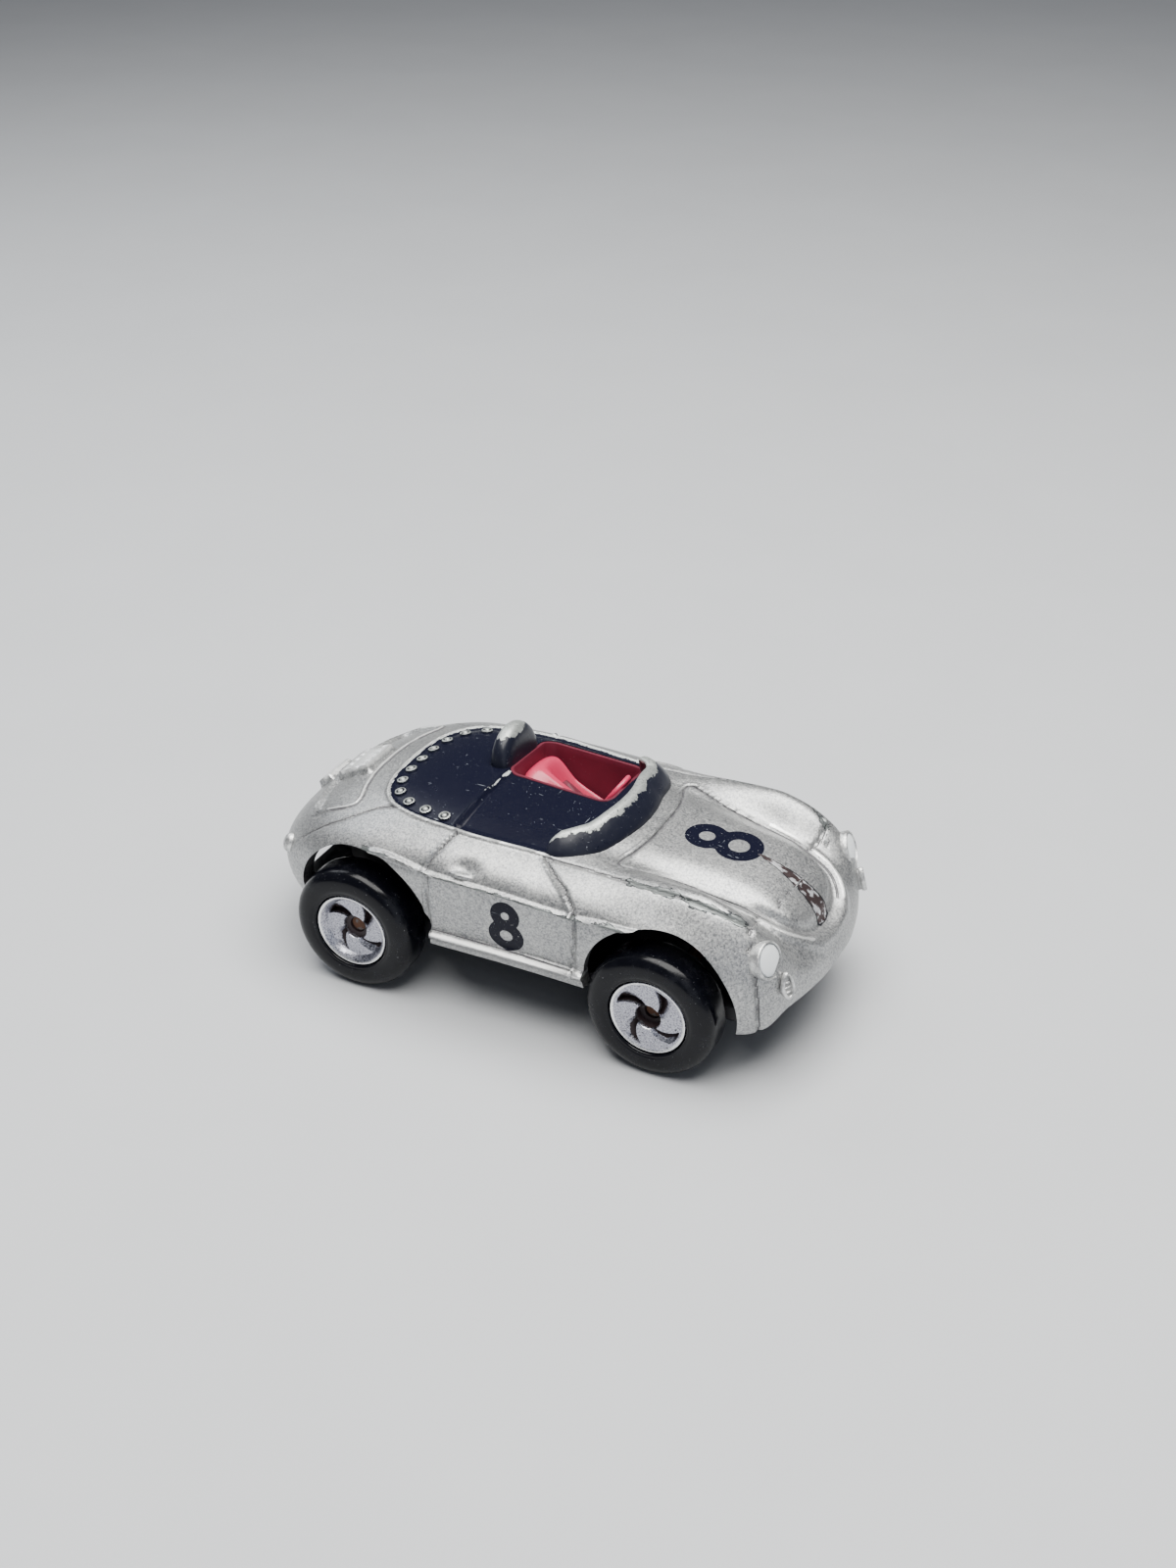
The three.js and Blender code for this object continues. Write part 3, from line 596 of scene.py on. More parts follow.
def on_top(points):
    plan = spline(points)
    return np.column_stack([plan, top_z(plan[:, 0], plan[:, 1])])


def on_side(points):
    plan = spline(points)
    return np.column_stack([plan[:, 0], side_y(plan[:, 0], plan[:, 1]), plan[:, 1]])


def closer(count, dense):
    """Shares from 0 to 1, set closer together around the places in dense: (share, reach, gain)."""
    fine = np.linspace(0, 1, 2001)
    density = 1 + sum(gain * bell(fine - at, reach) for at, reach, gain in dense)
    total = np.concatenate([[0], np.cumsum((density[1:] + density[:-1]) / 2)])
    return np.interp(np.linspace(0, total[-1], count), total, fine)


# Close rows follow the sill and the trim line, then the crease and the deck's edge.
ROWS = ((0.03, 0.05, 0.5), (0.36, 0.06, 1.0), (0.53, 0.08, 0.9))
# Close stations follow the door's shut lines and the nose.
STATIONS = ((0.38, 0.02, 0.7), (0.62, 0.02, 0.7), (0.93, 0.06, 0.4))


def half_section(x, inset, count):
    """Points of half a section from the sill to the crown."""
    at = x * HALF / (HALF - inset)
    half = max(0.02, float(width(at)) - inset)
    middle = float(widest(at))
    top = max(middle + 0.02, float(crown(at)) - inset)
    low = min(middle - 0.02, float(bottom(at)))
    s = np.linspace(0, 1, 40, endpoint=False)
    angle = np.linspace(0, pi / 2, 400)
    y = np.concatenate([half - TUCK * min(1, half / 4) * (1 - s) ** 2,
        half * np.abs(np.cos(angle)) ** (2 / SHOULDER)])
    z = np.concatenate([low + (middle - low) * s, middle + (top - middle) * np.sin(angle) ** (2 / SHOULDER)])
    z = z + np.where(z >= middle, ridge(at, y), 0)
    length = lengths(np.column_stack([y, z]))
    at = closer(count, ROWS) * length[-1]
    return np.interp(at, length, y), np.interp(at, length, z)


def body_grid(inset, stations, count):
    """Rings of the body from tail to nose. Each runs from the right sill over to the left sill."""
    fine = (HALF - inset) * np.sin(np.linspace(-0.4925, 0.4925, 2000) * pi)
    scaled = fine * HALF / (HALF - inset)
    step = np.sqrt(np.diff(fine) ** 2 + 0.6 * np.diff(width(scaled)) ** 2 + 0.4
        * np.diff(crown(scaled)) ** 2)
    length = np.concatenate([[0], np.cumsum(step)])
    rings = []
    for x in np.interp(closer(stations, STATIONS) * length[-1], length, fine):
        y, z = half_section(x, inset, count)
        ys = np.concatenate([-y, y[-2::-1]])
        zs = np.concatenate([z, z[-2::-1]])
        rings.append(np.column_stack([np.full(len(ys), x), ys, zs]))
    return np.array(rings)


def grid_normals(grid):
    along = np.gradient(grid, axis=0)
    around = np.gradient(grid, axis=1)
    normal = np.cross(along, around)
    return normal / np.maximum(np.linalg.norm(normal, axis=2, keepdims=True), 1e-9)


# ---- outlines on the body


def mirrored(half):
    """A closed outline from its half with y >= 0, which starts and ends on the centre line."""
    half = np.asarray(half, float)
    return np.vstack([half, half[-2:0:-1] * (1, -1)])


DECK = ((-10.2, 0), (-10.15, 1.5), (-9.95, 2.8), (-9.5, 3.9), (-8.8, 4.75), (-7.8, 5.3), (-6.3, 5.68),
    (-4.4, 5.88), (-3.0, 5.95), (-1.5, 5.9), (0.1, 5.8), (1.4, 5.75), (2.3, 5.6), (3.1, 5.2), (3.8, 4.3),
    (4.35, 3.2), (4.65, 2.0), (4.8, 0.9), (4.85, 0))
BONNET = ((6.25, 0), (6.2, 1.6), (5.95, 3.0), (5.5, 4.35), (5.8, 4.85), (6.6, 4.7), (8.0, 4.3), (9.5, 4.05),
    (11.5, 3.9), (13.3, 3.72), (14.7, 3.45), (15.4, 3.1), (15.95, 2.5), (16.3, 1.7), (16.45, 0.8), (16.5, 0))
LID = ((-11.95, 0), (-11.9, 1.5), (-11.6, 3.2), (-11.15, 4.75), (-11.5, 5.25), (-12.8, 5.35), (-13.9, 5.15),
    (-14.25, 4.2), (-14.6, 2.6), (-14.7, 1.4), (-14.75, 0))

LINES = {
    "crease": on_top([(1.7, 5.98), (3.6, 5.97), (5.4, 6.06), (7.2, 6.25), (9.3, 6.4), (11.6, 6.45),
                      (13.2, 6.2), (14.0, 5.8)]),
    "clip": np.vstack([on_top([(13.6, 3.95), (13.9, 4.9), (13.98, 5.75), (14.12, 6.2)]),
                       on_side([(14.33, 9.0), (14.42, 8.5), (14.7, 7.9), (14.98, 7.2),
                                (15.12, 6.0), (15.14, 4.9), (15.1, 3.7)])]),
    "tail": on_top([(-8.1, 5.3), (-8.9, 5.28), (-9.7, 5.55), (-10.7, 6.12), (-11.8, 6.55),
                    (-13.0, 6.7), (-13.9, 6.75)]),
    "front_shut": np.vstack([on_top([(1.75, 6.05), (2.3, 6.5), (2.95, 7.02), (3.8, 7.55)]),
                             on_side([(3.8, 9.85), (4.4, 9.4), (4.6, 9.0)])]),
    "front_jamb": on_side([(4.62, 8.95), (4.62, 7.4), (4.5, 6.0), (4.4, 4.95)]),
    "rear_shut": np.vstack([on_top([(-3.8, 6.2), (-3.95, 6.7), (-4.2, 7.3)]),
                            on_side([(-4.2, 10.25), (-4.5, 9.85), (-4.6, 9.4)])]),
    "rear_jamb": on_side([(-4.62, 9.0), (-4.7, 7.4), (-4.7, 5.0)]),
    "sill": on_side([(-4.7, 5.24), (-2.0, 5.22), (2.0, 5.22), (4.4, 5.2)]),
    "trim": on_side([(-8.4, 9.45), (-7.4, 9.5), (-5.6, 9.33), (-4.4, 9.17), (-3.2, 9.13),
                     (0, 9.07), (3.2, 8.92), (4.6, 8.88), (6.1, 8.96), (7.6, 8.98), (8.3, 9.02)]),
}
SHUT_LINES = ("front_shut", "front_jamb", "rear_shut", "rear_jamb")
SHARP = ("crease", "clip", "tail", *SHUT_LINES, "sill")
SEAM = on_top([(-4.1, -5.6), (-4.05, -3.9), (-4.0, -2.3), (-3.9, -1.0), (-3.8, 0.2)])


REACH = 1.2  # distances to lines are kept up to this


def distance_to(curve, points):
    """Distance from each point to a curve, up to REACH, and the same signed for the curve's side."""
    dense = np.column_stack([np.interp(np.linspace(0, 1, 700), np.linspace(0, 1, len(curve)), curve[:, axis])
        for axis in range(3)])
    ahead = np.gradient(dense, axis=0)
    low, high = dense.min(0) - REACH, dense.max(0) + REACH
    near = np.flatnonzero(((points > low) & (points < high)).all(1))
    tree = kdtree.KDTree(len(dense))
    for i, point in enumerate(dense):
        tree.insert(point, i)
    tree.balance()
    out = np.full(len(points), REACH)
    nearest = np.array([tree.find(points[i])[1] for i in near], int)
    away = points[near] - dense[nearest]
    out[near] = np.minimum(np.linalg.norm(away, axis=1), REACH)
    outward_way = points[near] * (0, 1, 1) - (0, 0, 4)
    side = np.sign((np.cross(ahead[nearest], away) * outward_way).sum(1))
    signed = out.copy()
    signed[near] *= side
    return out, signed


def line_distances(points):
    folded = points * (1, 0, 1) + np.abs(points) * (0, 1, 0)
    found = {name: distance_to(curve, folded) for name, curve in LINES.items()}
    found["seam"] = distance_to(SEAM, points)
    return found


def bead(distance, half, height):
    return height * (0.5 + 0.5 * np.cos(pi * np.clip(distance / half, -1, 1)))


def groove(distance, half, depth):
    return -depth * bell(distance, half)


def plan_distances(x, y):
    """Signed distances in plan to the outlines of the deck, the bonnet and the engine lid."""
    return [inside_distance(spline(mirrored(half), 5, True), x, y) for half in (DECK, BONNET, LID)]


def trim_height(x):
    return np.interp(x, LINES["trim"][:, 0], LINES["trim"][:, 2])


GRILLE = {"back": -14.6, "front": -12.35, "half": 1.6, "rise": 0.5, "louvres": 5}
PLATE_BLOCK = {"back": -16.15, "front": -15.2, "half": 1.25, "rise": 0.42}
FLANK_Y = 6.5  # the doors and wings lie further out than this
SILL_HALF = 5.6  # half the length of the sill
SILL_TOP = 5.2
HANDLE = {"x": -2.5, "z": 9.5, "half": 0.62}


def block_mask(x, y, block, soft=0.14):
    return (ease(x, block["back"], block["back"] + soft) * ease(-x, -block["front"], -block["front"] + soft)
        * ease(block["half"] - np.abs(y), 0, soft))


def body_relief(points):
    """How far each point of the plain surface moves out along its normal."""
    x, y, z = points.T
    side = np.abs(y)
    lines = line_distances(points)
    near = {name: pair[0] for name, pair in lines.items()}
    high = z > widest(x) + 0.4
    deck, bonnet, lid = plan_distances(x, y)
    out = np.zeros(len(points))

    flank = (side > FLANK_Y) * ease(x, -9.0, -8.4) * ease(9.0 - x, 0, 0.6)
    out += flank * (bead(near["trim"], 0.24, 0.2) - 0.22 * ease(trim_height(x) - z, 0.06, 0.3))
    sill = (side > FLANK_Y) & (np.abs(x) < SILL_HALF)
    out += np.where(sill, 0.44 * ease(SILL_TOP - z, 0.0, 0.2) - 0.16 * ease(4.9 - z, 0, 0.4), 0)
    for name in SHUT_LINES:
        out += groove(near[name], 0.09, 0.13) + bead(lines[name][1] - 0.19, 0.15, 0.08)
    out += groove(near["clip"], 0.1, 0.16) + groove(near["tail"], 0.09, 0.1)
    out += groove(near["crease"], 0.1, 0.12)

    handle = np.hypot((x - HANDLE["x"]) / HANDLE["half"], (z - HANDLE["z"]) / 0.17)
    scoop = np.hypot((x - HANDLE["x"] - 0.1) / 0.75, (z - HANDLE["z"] - 0.38) / 0.32)
    out += np.where(side > 6, 0.22 * np.clip(1 - handle ** 2, 0, 1) ** 0.5 - 0.22 * np.exp(-scoop ** 2), 0)

    behind_screen = ease(2.4 - x, 0, 0.8)
    out += high * behind_screen * bead(deck - 0.08, 0.22, 0.14)
    out -= np.where(high, 0.05 * ease(-deck, 0.0, 0.18), 0)
    tonneau = high * ease(-deck, 0.1, 0.5) * ease(x, -3.95, -3.75) * ease(0.6 - y, 0, 0.2)
    out -= 0.07 * tonneau
    out += bead(near["seam"], 0.26, 0.19)

    front = ease(x, 12.5, 14.5)
    out += high * (bead(bonnet - 0.12, 0.16, 0.05) + groove(bonnet + 0.05, 0.09, 0.09)) * (1 - front)
    out += (x > 11) * front * (groove(bonnet + 0.18, 0.3, 0.3) + bead(bonnet - 0.34, 0.46, 0.2))

    out -= high * 0.16 * ease(-lid, 0.0, 0.2)
    out += high * bead(lid - 0.08, 0.24, 0.12)
    grille = block_mask(x, y, GRILLE)
    louvres = 0.5 + 0.5 * np.cos((y / GRILLE["half"]) * pi * GRILLE["louvres"])
    inner = block_mask(x, y, {**GRILLE, "back": -14.2, "front": -12.6, "half": 1.35})
    out += high * (GRILLE["rise"] * grille - 0.16 * inner * louvres)
    out += (z > 6.0) * PLATE_BLOCK["rise"] * block_mask(x, y, PLATE_BLOCK)
    return out


NO_PANEL = 5.0  # distance stored where there is no black panel near
NO_NUMBER = 9.0
NUMBER_DOOR = {"x": 0.27, "z": 6.92}
NUMBER_BONNET = {"x": 9.74, "y": 0.32}


def number_distance(points):
    """Signed distance to the strokes of the figure 8 on the doors and the bonnet."""
    x, y, z = points.T

    def eight(across, along, small, large, apart, stroke):
        top = np.abs(np.hypot(across, along - apart / 2) - small)
        low = np.abs(np.hypot(across / 1.08, along + apart / 2) - large)
        return np.minimum(top, low) - stroke / 2

    door = eight(x - NUMBER_DOOR["x"], z - NUMBER_DOOR["z"], 0.59, 0.7, 1.38, 0.64)
    down = NUMBER_BONNET["x"] - x
    across = (y - NUMBER_BONNET["y"]) / 1.05 + 0.1 * down
    bonnet = eight(across, down, 0.83, 0.96, 1.88, 0.75)
    door = np.where((np.abs(y) > 7) & (z < 9), door, NO_NUMBER)
    bonnet = np.where(z > 9, bonnet, NO_NUMBER)
    return np.minimum(door, bonnet)


RUB = {"back": 11.9, "front": 16.3, "y": (0.4, -0.1), "half": 0.92}


def plain_masks(obj, grime_and_shade=0.0):
    """Keeps the panels' black, the numbers and the wear off a small silver part, and sets its grime and
    painted shade and its polish and painted highlight.
    """
    for name, value in (("black", NO_PANEL), ("number", NO_NUMBER), ("groove", grime_and_shade), ("wear", 0.15),
            ("line", REACH), ("line_near", REACH), ("polish_and_highlight", 0.45)):
        set_attribute(obj, name, np.full(len(obj.data.vertices), value))


def body_masks(obj):
    """Stores, at each vertex, what the paint's material needs to know."""
    points = places_mm(obj)
    x, y, z = points.T
    side = np.abs(y)
    lines = line_distances(points)
    near = {name: pair[0] for name, pair in lines.items()}
    deck, bonnet, lid = plan_distances(x, y)
    high = z > np.where(x > 10, 7.4, 9.6)
    trim_drop = trim_height(x) - z
    set_attribute(obj, "black", np.where(high, deck, NO_PANEL))
    set_attribute(obj, "number", number_distance(points))
    sharp = [lines[name] for name in SHARP]
    for outline, shift, place in ((bonnet, 0.05, x < 18), (lid, -0.22, x < -8)):
        edge = np.where(high & place, outline + shift, REACH)
        sharp.append((np.minimum(np.abs(edge), REACH), edge))
    gaps = np.array([pair[0] for pair in sharp])
    first = gaps.argmin(0)
    each = np.arange(len(points))
    set_attribute(obj, "line_near", gaps[first, each])
    set_attribute(obj, "line", np.array([pair[1] for pair in sharp])[first, each])
    # Near the lines the paint darkens: grime and painted shade.
    set_attribute(obj, "groove", bell(gaps[first, each], 0.14))
    # Raised tops to lighten: rubbed polish and a painted highlight.
    shine = np.maximum.reduce([bell(trim_drop, 0.1) * (near["trim"] < 0.6),
        (side > FLANK_Y) * (np.abs(x) < SILL_HALF) * bell(z - 5.0, 0.12),
        0.8 * high * bell(lid - 0.08, 0.12), 0.7 * high * (x > 11) * bell(bonnet - 0.34, 0.16),
        0.7 * high * (x < 2) * bell(deck - 0.1, 0.12), 0.7 * high * block_mask(x, y, GRILLE),
        0.7 * (z > 6.0) * block_mask(x, y, PLATE_BLOCK)])
    set_attribute(obj, "polish_and_highlight", shine)
    wear = np.maximum(1.3 * bell(near["seam"], 0.16), high * bell(deck - 0.03, 0.16) * (x < 2.3))
    set_attribute(obj, "wear", wear)
    chip = np.maximum.reduce([1.12 * bell(trim_drop + 0.02, 0.14) * (near["trim"] < 0.7),
        bell(near["crease"], 0.42) * ease(x, 4.5, 8) * 1.1, 0.5 * bell(near["front_shut"], 0.2)])
    set_attribute(obj, "chip", np.clip(chip, 0, 1.3))
    along = np.clip((x - RUB["back"]) / (RUB["front"] - RUB["back"]), 0, 1)
    half = 0.06 + RUB["half"] * along
    rub = 1 - np.abs(y - RUB["y"][0] - (RUB["y"][1] - RUB["y"][0]) * along) / half
    ends = ease(x, RUB["back"] - 0.2, RUB["back"] + 0.2) * ease(RUB["front"] - x, 0, 0.35)
    set_attribute(obj, "rub", np.clip(rub, 0, 1) * ends * (z > 7))


# ---- pieces of the shell

SKIN_GRID = (350, 132)  # rings along the body, points from a sill to the crown
ROOM_GRID = (80, 40)
FRONT_ARCH = {"x": 9.6, "z": 4.75, "r": 4.6}
REAR_ARCH = {"x": -9.15, "z": 4.9, "r": 4.5}
ARCH_Y = (5.0, 10.0)
# Screw posts: foot is their height over the chassis plate's underside, pilot the bore's share of r.
POST = {"r": 1.15, "foot": 1.85, "pilot": 0.45, "pilot_top": 6.1}
COCKPIT = {"back": -4.1, "front": 2.7, "inner": 0.15, "outer": 5.5, "corner": 0.9}


def closed_loft(name, rings):
    """A solid through rings of points, closed by a face at each end."""
    rings = np.asarray(rings)
    rows, columns, _ = rings.shape
    faces = grid_faces(rows, columns)
    faces.append(list(range(columns))[::-1])
    faces.append(list(range((rows - 1) * columns, rows * columns)))
    return outward(new_mesh(name, rings.reshape(-1, 3), faces))


def bar(name, x, z, radius, ends, segments=128):
    angle = turns(segments)
    return closed_loft(name, [np.column_stack([x + radius * np.cos(angle), np.full(segments, y),
        z + radius * np.sin(angle)]) for y in ends])


def upright(name, outline, ends):
    outline = np.asarray(outline, float)
    return closed_loft(name, [np.column_stack([outline, np.full(len(outline), z)]) for z in ends])


def rounded_rectangle(x0, x1, y0, y1, radius, steps):
    corners = ((x1 - radius, y1 - radius), (x0 + radius, y1 - radius), (x0 + radius, y0 + radius),
        (x1 - radius, y0 + radius))
    out = []
    for quarter, (cx, cy) in enumerate(corners):
        for angle in np.linspace(0, pi / 2, steps + 1) + quarter * pi / 2:
            out.append((cx + radius * cos(angle), cy + radius * sin(angle)))
    return np.array(out)


def cockpit_outline(margin, steps):
    """The outline of the cockpit's opening, moved inward by margin."""
    c = COCKPIT
    return rounded_rectangle(c["back"] + margin, c["front"] - margin, c["inner"] + margin,
        c["outer"] - margin, c["corner"] - margin, steps)


def body_shell(material):
    grid = body_grid(0, *SKIN_GRID)
    normals = grid_normals(grid)
    flat = grid.reshape(-1, 3)
    relief = body_relief(flat).reshape(grid.shape[:2])
    fade = ease(HALF - np.abs(grid[..., 0]), 0.0, 0.5)
    grid = grid + normals * (relief * fade)[..., None]
    shell = closed_loft("body", grid)
    room = body_grid(WALL, *ROOM_GRID)
    drop = room[:, [0, -1], :] - (0, 0, 3)
    cut(shell, closed_loft("room", np.concatenate([drop[:, :1], room, drop[:, 1:]], 1)))
    for sign in (-1, 1):
        ends = sorted(sign * y for y in ARCH_Y)
        for place in (FRONT_ARCH, REAR_ARCH):
            cut(shell, bar("arch", place["x"], place["z"], place["r"], ends))
    cut(shell, upright("well", cockpit_outline(0, 8), (9, 14)))
    for screw in ("chassis_screw_front", "chassis_screw_rear"):
        x = centre_mm(screw)[0]
        foot = box_mm("chassis_plate")[0][2] + POST["foot"]
        circle = [(x + POST["r"] * cos(a), POST["r"] * sin(a)) for a in turns(32)]
        hole = [(x + (px - x) * POST["pilot"], py * POST["pilot"]) for px, py in circle]
        cut(shell, upright("post", circle, (foot, float(crown(x)) - 0.45)), "UNION")
        cut(shell, upright("pilot", hole, (foot - 1, POST["pilot_top"])))
    shell.name = "body"
    coat(shell, material)
    body_masks(shell)
    smooth(shell, 40)
    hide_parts("body_shell")
    return shell


SCREEN_FOOT = ((5.4, 0), (5.34, 1.0), (5.14, 2.1), (4.8, 3.2), (4.25, 4.3), (3.45, 5.15), (2.5, 5.7),
    (1.68, 5.92))
SCREEN_HEIGHT = 1.32
SCREEN_LEAN = 1.62
SCREEN_END = 26  # the higher, the shorter the rounding of its two ends
SCREEN_LEFT = 0.7  # how much further forward its left end stands
# Half of a section: [share of the lean, share of the height, wear], from the outer foot over the top.
SCREEN_SECTION = ((0.0, -0.3, 0), (0.0, 0.02, 0.3), (0.08, 0.22, 0.2), (0.22, 0.45, 0.1), (0.38, 0.68, 0.4),
    (0.5, 0.82, 0.62), (0.58, 0.92, 0.8), (0.66, 0.98, 0.95), (0.76, 1.0, 1), (0.86, 0.99, 1),
    (0.94, 0.95, 0.85), (0.97, 0.86, 0.6), (0.94, 0.7, 0.3), (0.86, 0.4, 0), (0.8, 0.1, 0), (0.8, -0.3, 0))


def windscreen(material):
    """A low band around the front of the cockpit, leaning back, with a rounded worn top."""
    half = spline(SCREEN_FOOT, 14)
    path = np.vstack([half[::-1] * (1, -1), half[1:]])
    path[:, 0] += SCREEN_LEFT * ease(path[:, 1], 2.0, 5.6)
    length = lengths(path)
    ahead = np.gradient(path, axis=0)
    inward = np.column_stack([-ahead[:, 1], ahead[:, 0]])
    inward /= np.linalg.norm(inward, axis=1)[:, None]
    section = np.array(SCREEN_SECTION)
    rings, wear = [], []
    for (x, y), (nx, ny), at in zip(path, inward, length / length[-1] * 2 - 1):
        end = sqrt(max(0.0, 1 - abs(at) ** SCREEN_END))
        fall = (1 - (0.08 if at > 0 else 0.22) * at ** 2) * (0.12 + 0.88 * end)
        foot = float(top_z(x, y))
        lean = section[:, 0] * SCREEN_LEAN * fall
        up = foot + section[:, 1] * SCREEN_HEIGHT * np.where(section[:, 1] > 0, fall, 1)
        rings.append(np.column_stack([x + nx * lean, y + ny * lean, up]))
        wear.append(section[:, 2] * (0.98 - 0.22 * ease(-at, 0.55, 0.95)))
    screen = closed_loft("windscreen", rings)
    coat(screen, material)
    set_attribute(screen, "wear", np.concatenate(wear))
    screen.modifiers.new("subdivision", "SUBSURF").levels = 1
    evaluated(screen)
    return smooth(screen, 60)


HEADREST = {"back": -5.3, "front": -3.95, "middle": 2.45, "half": 2.15, "foot": 10.6, "top": 13.3}


def headrest(material):
    """The half-round fairing behind the driver, rounded all over and worn on its top."""
    h = HEADREST
    rings, wear = [], []
    angle = np.linspace(0, pi, 60)
    for t in np.linspace(-1, 1, 30):
        size = sqrt(max(0.0, 1 - abs(t) ** 2.6))
        depth = (h["front"] - h["back"]) / 2
        x = (h["front"] + h["back"]) / 2 + depth * t
        half = h["half"] * (0.72 + 0.28 * size)
        top = (h["top"] - h["foot"]) * (0.55 + 0.45 * size)
        y = h["middle"] + half * np.cos(angle)
        z = h["foot"] + top * np.sin(angle) ** 0.7
        lean = -0.25 * (z - h["foot"]) / 2.7
        rings.append(np.column_stack([x + lean, y, z]))
        wear.append(ease(z, h["top"] - 1.1, h["top"] - 0.1) * (0.78 + 0.2 * ease(-t, -0.6, 0.6)))
    fairing = closed_loft("headrest", rings)
    coat(fairing, material)
    set_attribute(fairing, "wear", np.concatenate(wear))
    return smooth(fairing, 50)


def tilt(axis):
    """The rotation that takes +Z to axis."""
    return np.array(Vector(axis).to_track_quat("Z", "Y").to_matrix())


def settle(obj, spin, centre):
    """Turns an object's points by spin, then moves them to centre."""
    flat = places_mm(obj) @ spin.T + centre
    obj.data.vertices.foreach_set("co", (flat * MM).ravel())


def turned(name, profile_points, centre, axis, segments, squash=1.0):
    """A closed solid of revolution about axis through centre. The profile is [radius, height]."""
    points = np.asarray(profile_points, float)
    rings = [np.column_stack([np.cos(a) * points[:, 0], np.sin(a) * points[:, 0] * squash, points[:, 1]])
        for a in turns(segments)]
    stack = np.array(rings).transpose(1, 0, 2)
    return closed_loft(name, stack @ tilt(axis).T + np.asarray(centre, float))


def body_normal(x, y):
    e = 0.05
    dx = float(top_z(x + e, y) - top_z(x - e, y)) / (2 * e)
    dy = float(top_z(x, y + e) - top_z(x, y - e)) / (2 * e)
    return Vector((-dx, -dy, 1)).normalized()


def join(name, objects):
    for obj in bpy.context.scene.objects:
        obj.select_set(False)
    for obj in objects:
        obj.select_set(True)
    bpy.context.view_layer.objects.active = objects[0]
    bpy.ops.object.join()
    objects[0].name = name
    objects[0].select_set(False)
    return objects[0]


STUD_COUNT = 13


def deck_studs(material):
    """Snap studs around the rear of the deck cover, rubbed bright on top."""
    outline = spline(mirrored(DECK), 12, True)
    outline = outline[outline[:, 0] < -4.7]
    order = np.argsort(np.arctan2(outline[:, 1], -outline[:, 0] - 4.0))
    outline = outline[order]
    length = lengths(outline)
    profile_points = [(0.36, -0.2), (0.36, 0.04), (0.33, 0.13), (0.27, 0.15), (0.22, 0.05), (0.18, 0.06),
        (0.14, 0.17), (0.08, 0.21), (0.01, 0.22)]
    studs = []
    for at in np.linspace(0.02, 0.98, STUD_COUNT) * length[-1]:
        x, y = (np.interp(at, length, outline[:, k]) for k in range(2))
        pull = 0.62 / max(0.1, hypot((x + 4.0) * 0.9, y))
        x, y = x + pull * (-4.0 - x) * 0.9, y * (1 - pull)
        normal = body_normal(x, y)
        place = Vector((x, y, float(top_z(x, y)) - 0.05))
        stud = turned("stud", profile_points, place, normal, 28)
        set_attribute(stud, "wear", np.clip((places_mm(stud) - np.array(place)) @ np.array(normal) * 7 - 0.1,
            0, 1.1))
        studs.append(stud)
    row = join("deck_studs", studs)
    coat(row, material)
    return smooth(row, 50)


HEADLIGHT = {"x": 15.3, "y": 6.27, "z": 8.12, "r": 1.04}
INDICATOR = {"x": 16.3, "y": 5.88, "z": 6.46}
TAIL_LIGHT = {"x": -15.3, "z": 7.0}
SIDES = (("right", -1), ("left", 1))


# [share of the lamp's radius, height]
LAMP_RING = ((0.9, -0.7), (1.00, -0.7), (1.03, -0.2), (1.03, 0.02), (0.99, 0.09), (0.95, 0.11), (0.91, 0.07),
    (0.9, -0.05))
LAMP_DISC = ((0.88, -0.5), (0.88, 0.0), (0.84, 0.05), (0.7, 0.1), (0.5, 0.145), (0.25, 0.17), (0.02, 0.18))


def headlights(lens, ring_material):
    made = []
    r = HEADLIGHT["r"]
    for name, sign in SIDES:
        centre = (HEADLIGHT["x"], sign * HEADLIGHT["y"], HEADLIGHT["z"])
        axis = Vector((0.92, sign * 0.2, 0.34)).normalized()
        ring = turned(f"headlight_ring_{name}", np.array(LAMP_RING) * (r, 1), centre, axis, 72)
        coat(ring, ring_material)
        plain_masks(ring)
        disc = turned(f"headlight_{name}", np.array(LAMP_DISC) * (r, 1), centre, axis, 72)
        coat(disc, lens)
        out = np.linalg.norm(places_mm(disc) - centre, axis=1) / r
        set_attribute(disc, "rim", ease(out, 0.6, 0.9))
        made += [smooth(ring, 50), smooth(disc, 50)]
    return made


def hoop(loop, reach, height, steps):
    """A closed tube around a flat loop of points, one for each of turns(len(loop))."""
    angle, section = turns(len(loop))[:, None], turns(steps)
    out = reach * np.cos(section)
    rings = np.stack([loop[:, :1] + np.cos(angle) * out, loop[:, 1:] + np.sin(angle) * out,
        np.tile(height * np.sin(section), (len(loop), 1))], -1)
    return outward(new_mesh("rim", rings.reshape(-1, 3), grid_faces(len(loop), steps, True)))


def egg(half, height):
    """An upright oval that is fuller at its top."""
    angle = turns(60)
    tall = height + 0.16 * np.maximum(0, np.sin(angle)) ** 3
    return np.column_stack([half * np.cos(angle), tall * np.sin(angle)])


def rib(offset):
    """A short rounded bar across a lamp, shorter the further it is from the middle."""
    half, section = 0.24 - 0.3 * abs(offset), turns(14)[:12]
    rings = []
    for t in np.linspace(-1, 1, 9):
        size = sqrt(1 - t * t * 0.8)
        rings.append(np.column_stack([np.full(12, t * half), offset + 0.06 * np.cos(section) * size,
            0.07 * np.sin(section) * size + 0.05]))
    return closed_loft("rib", rings)


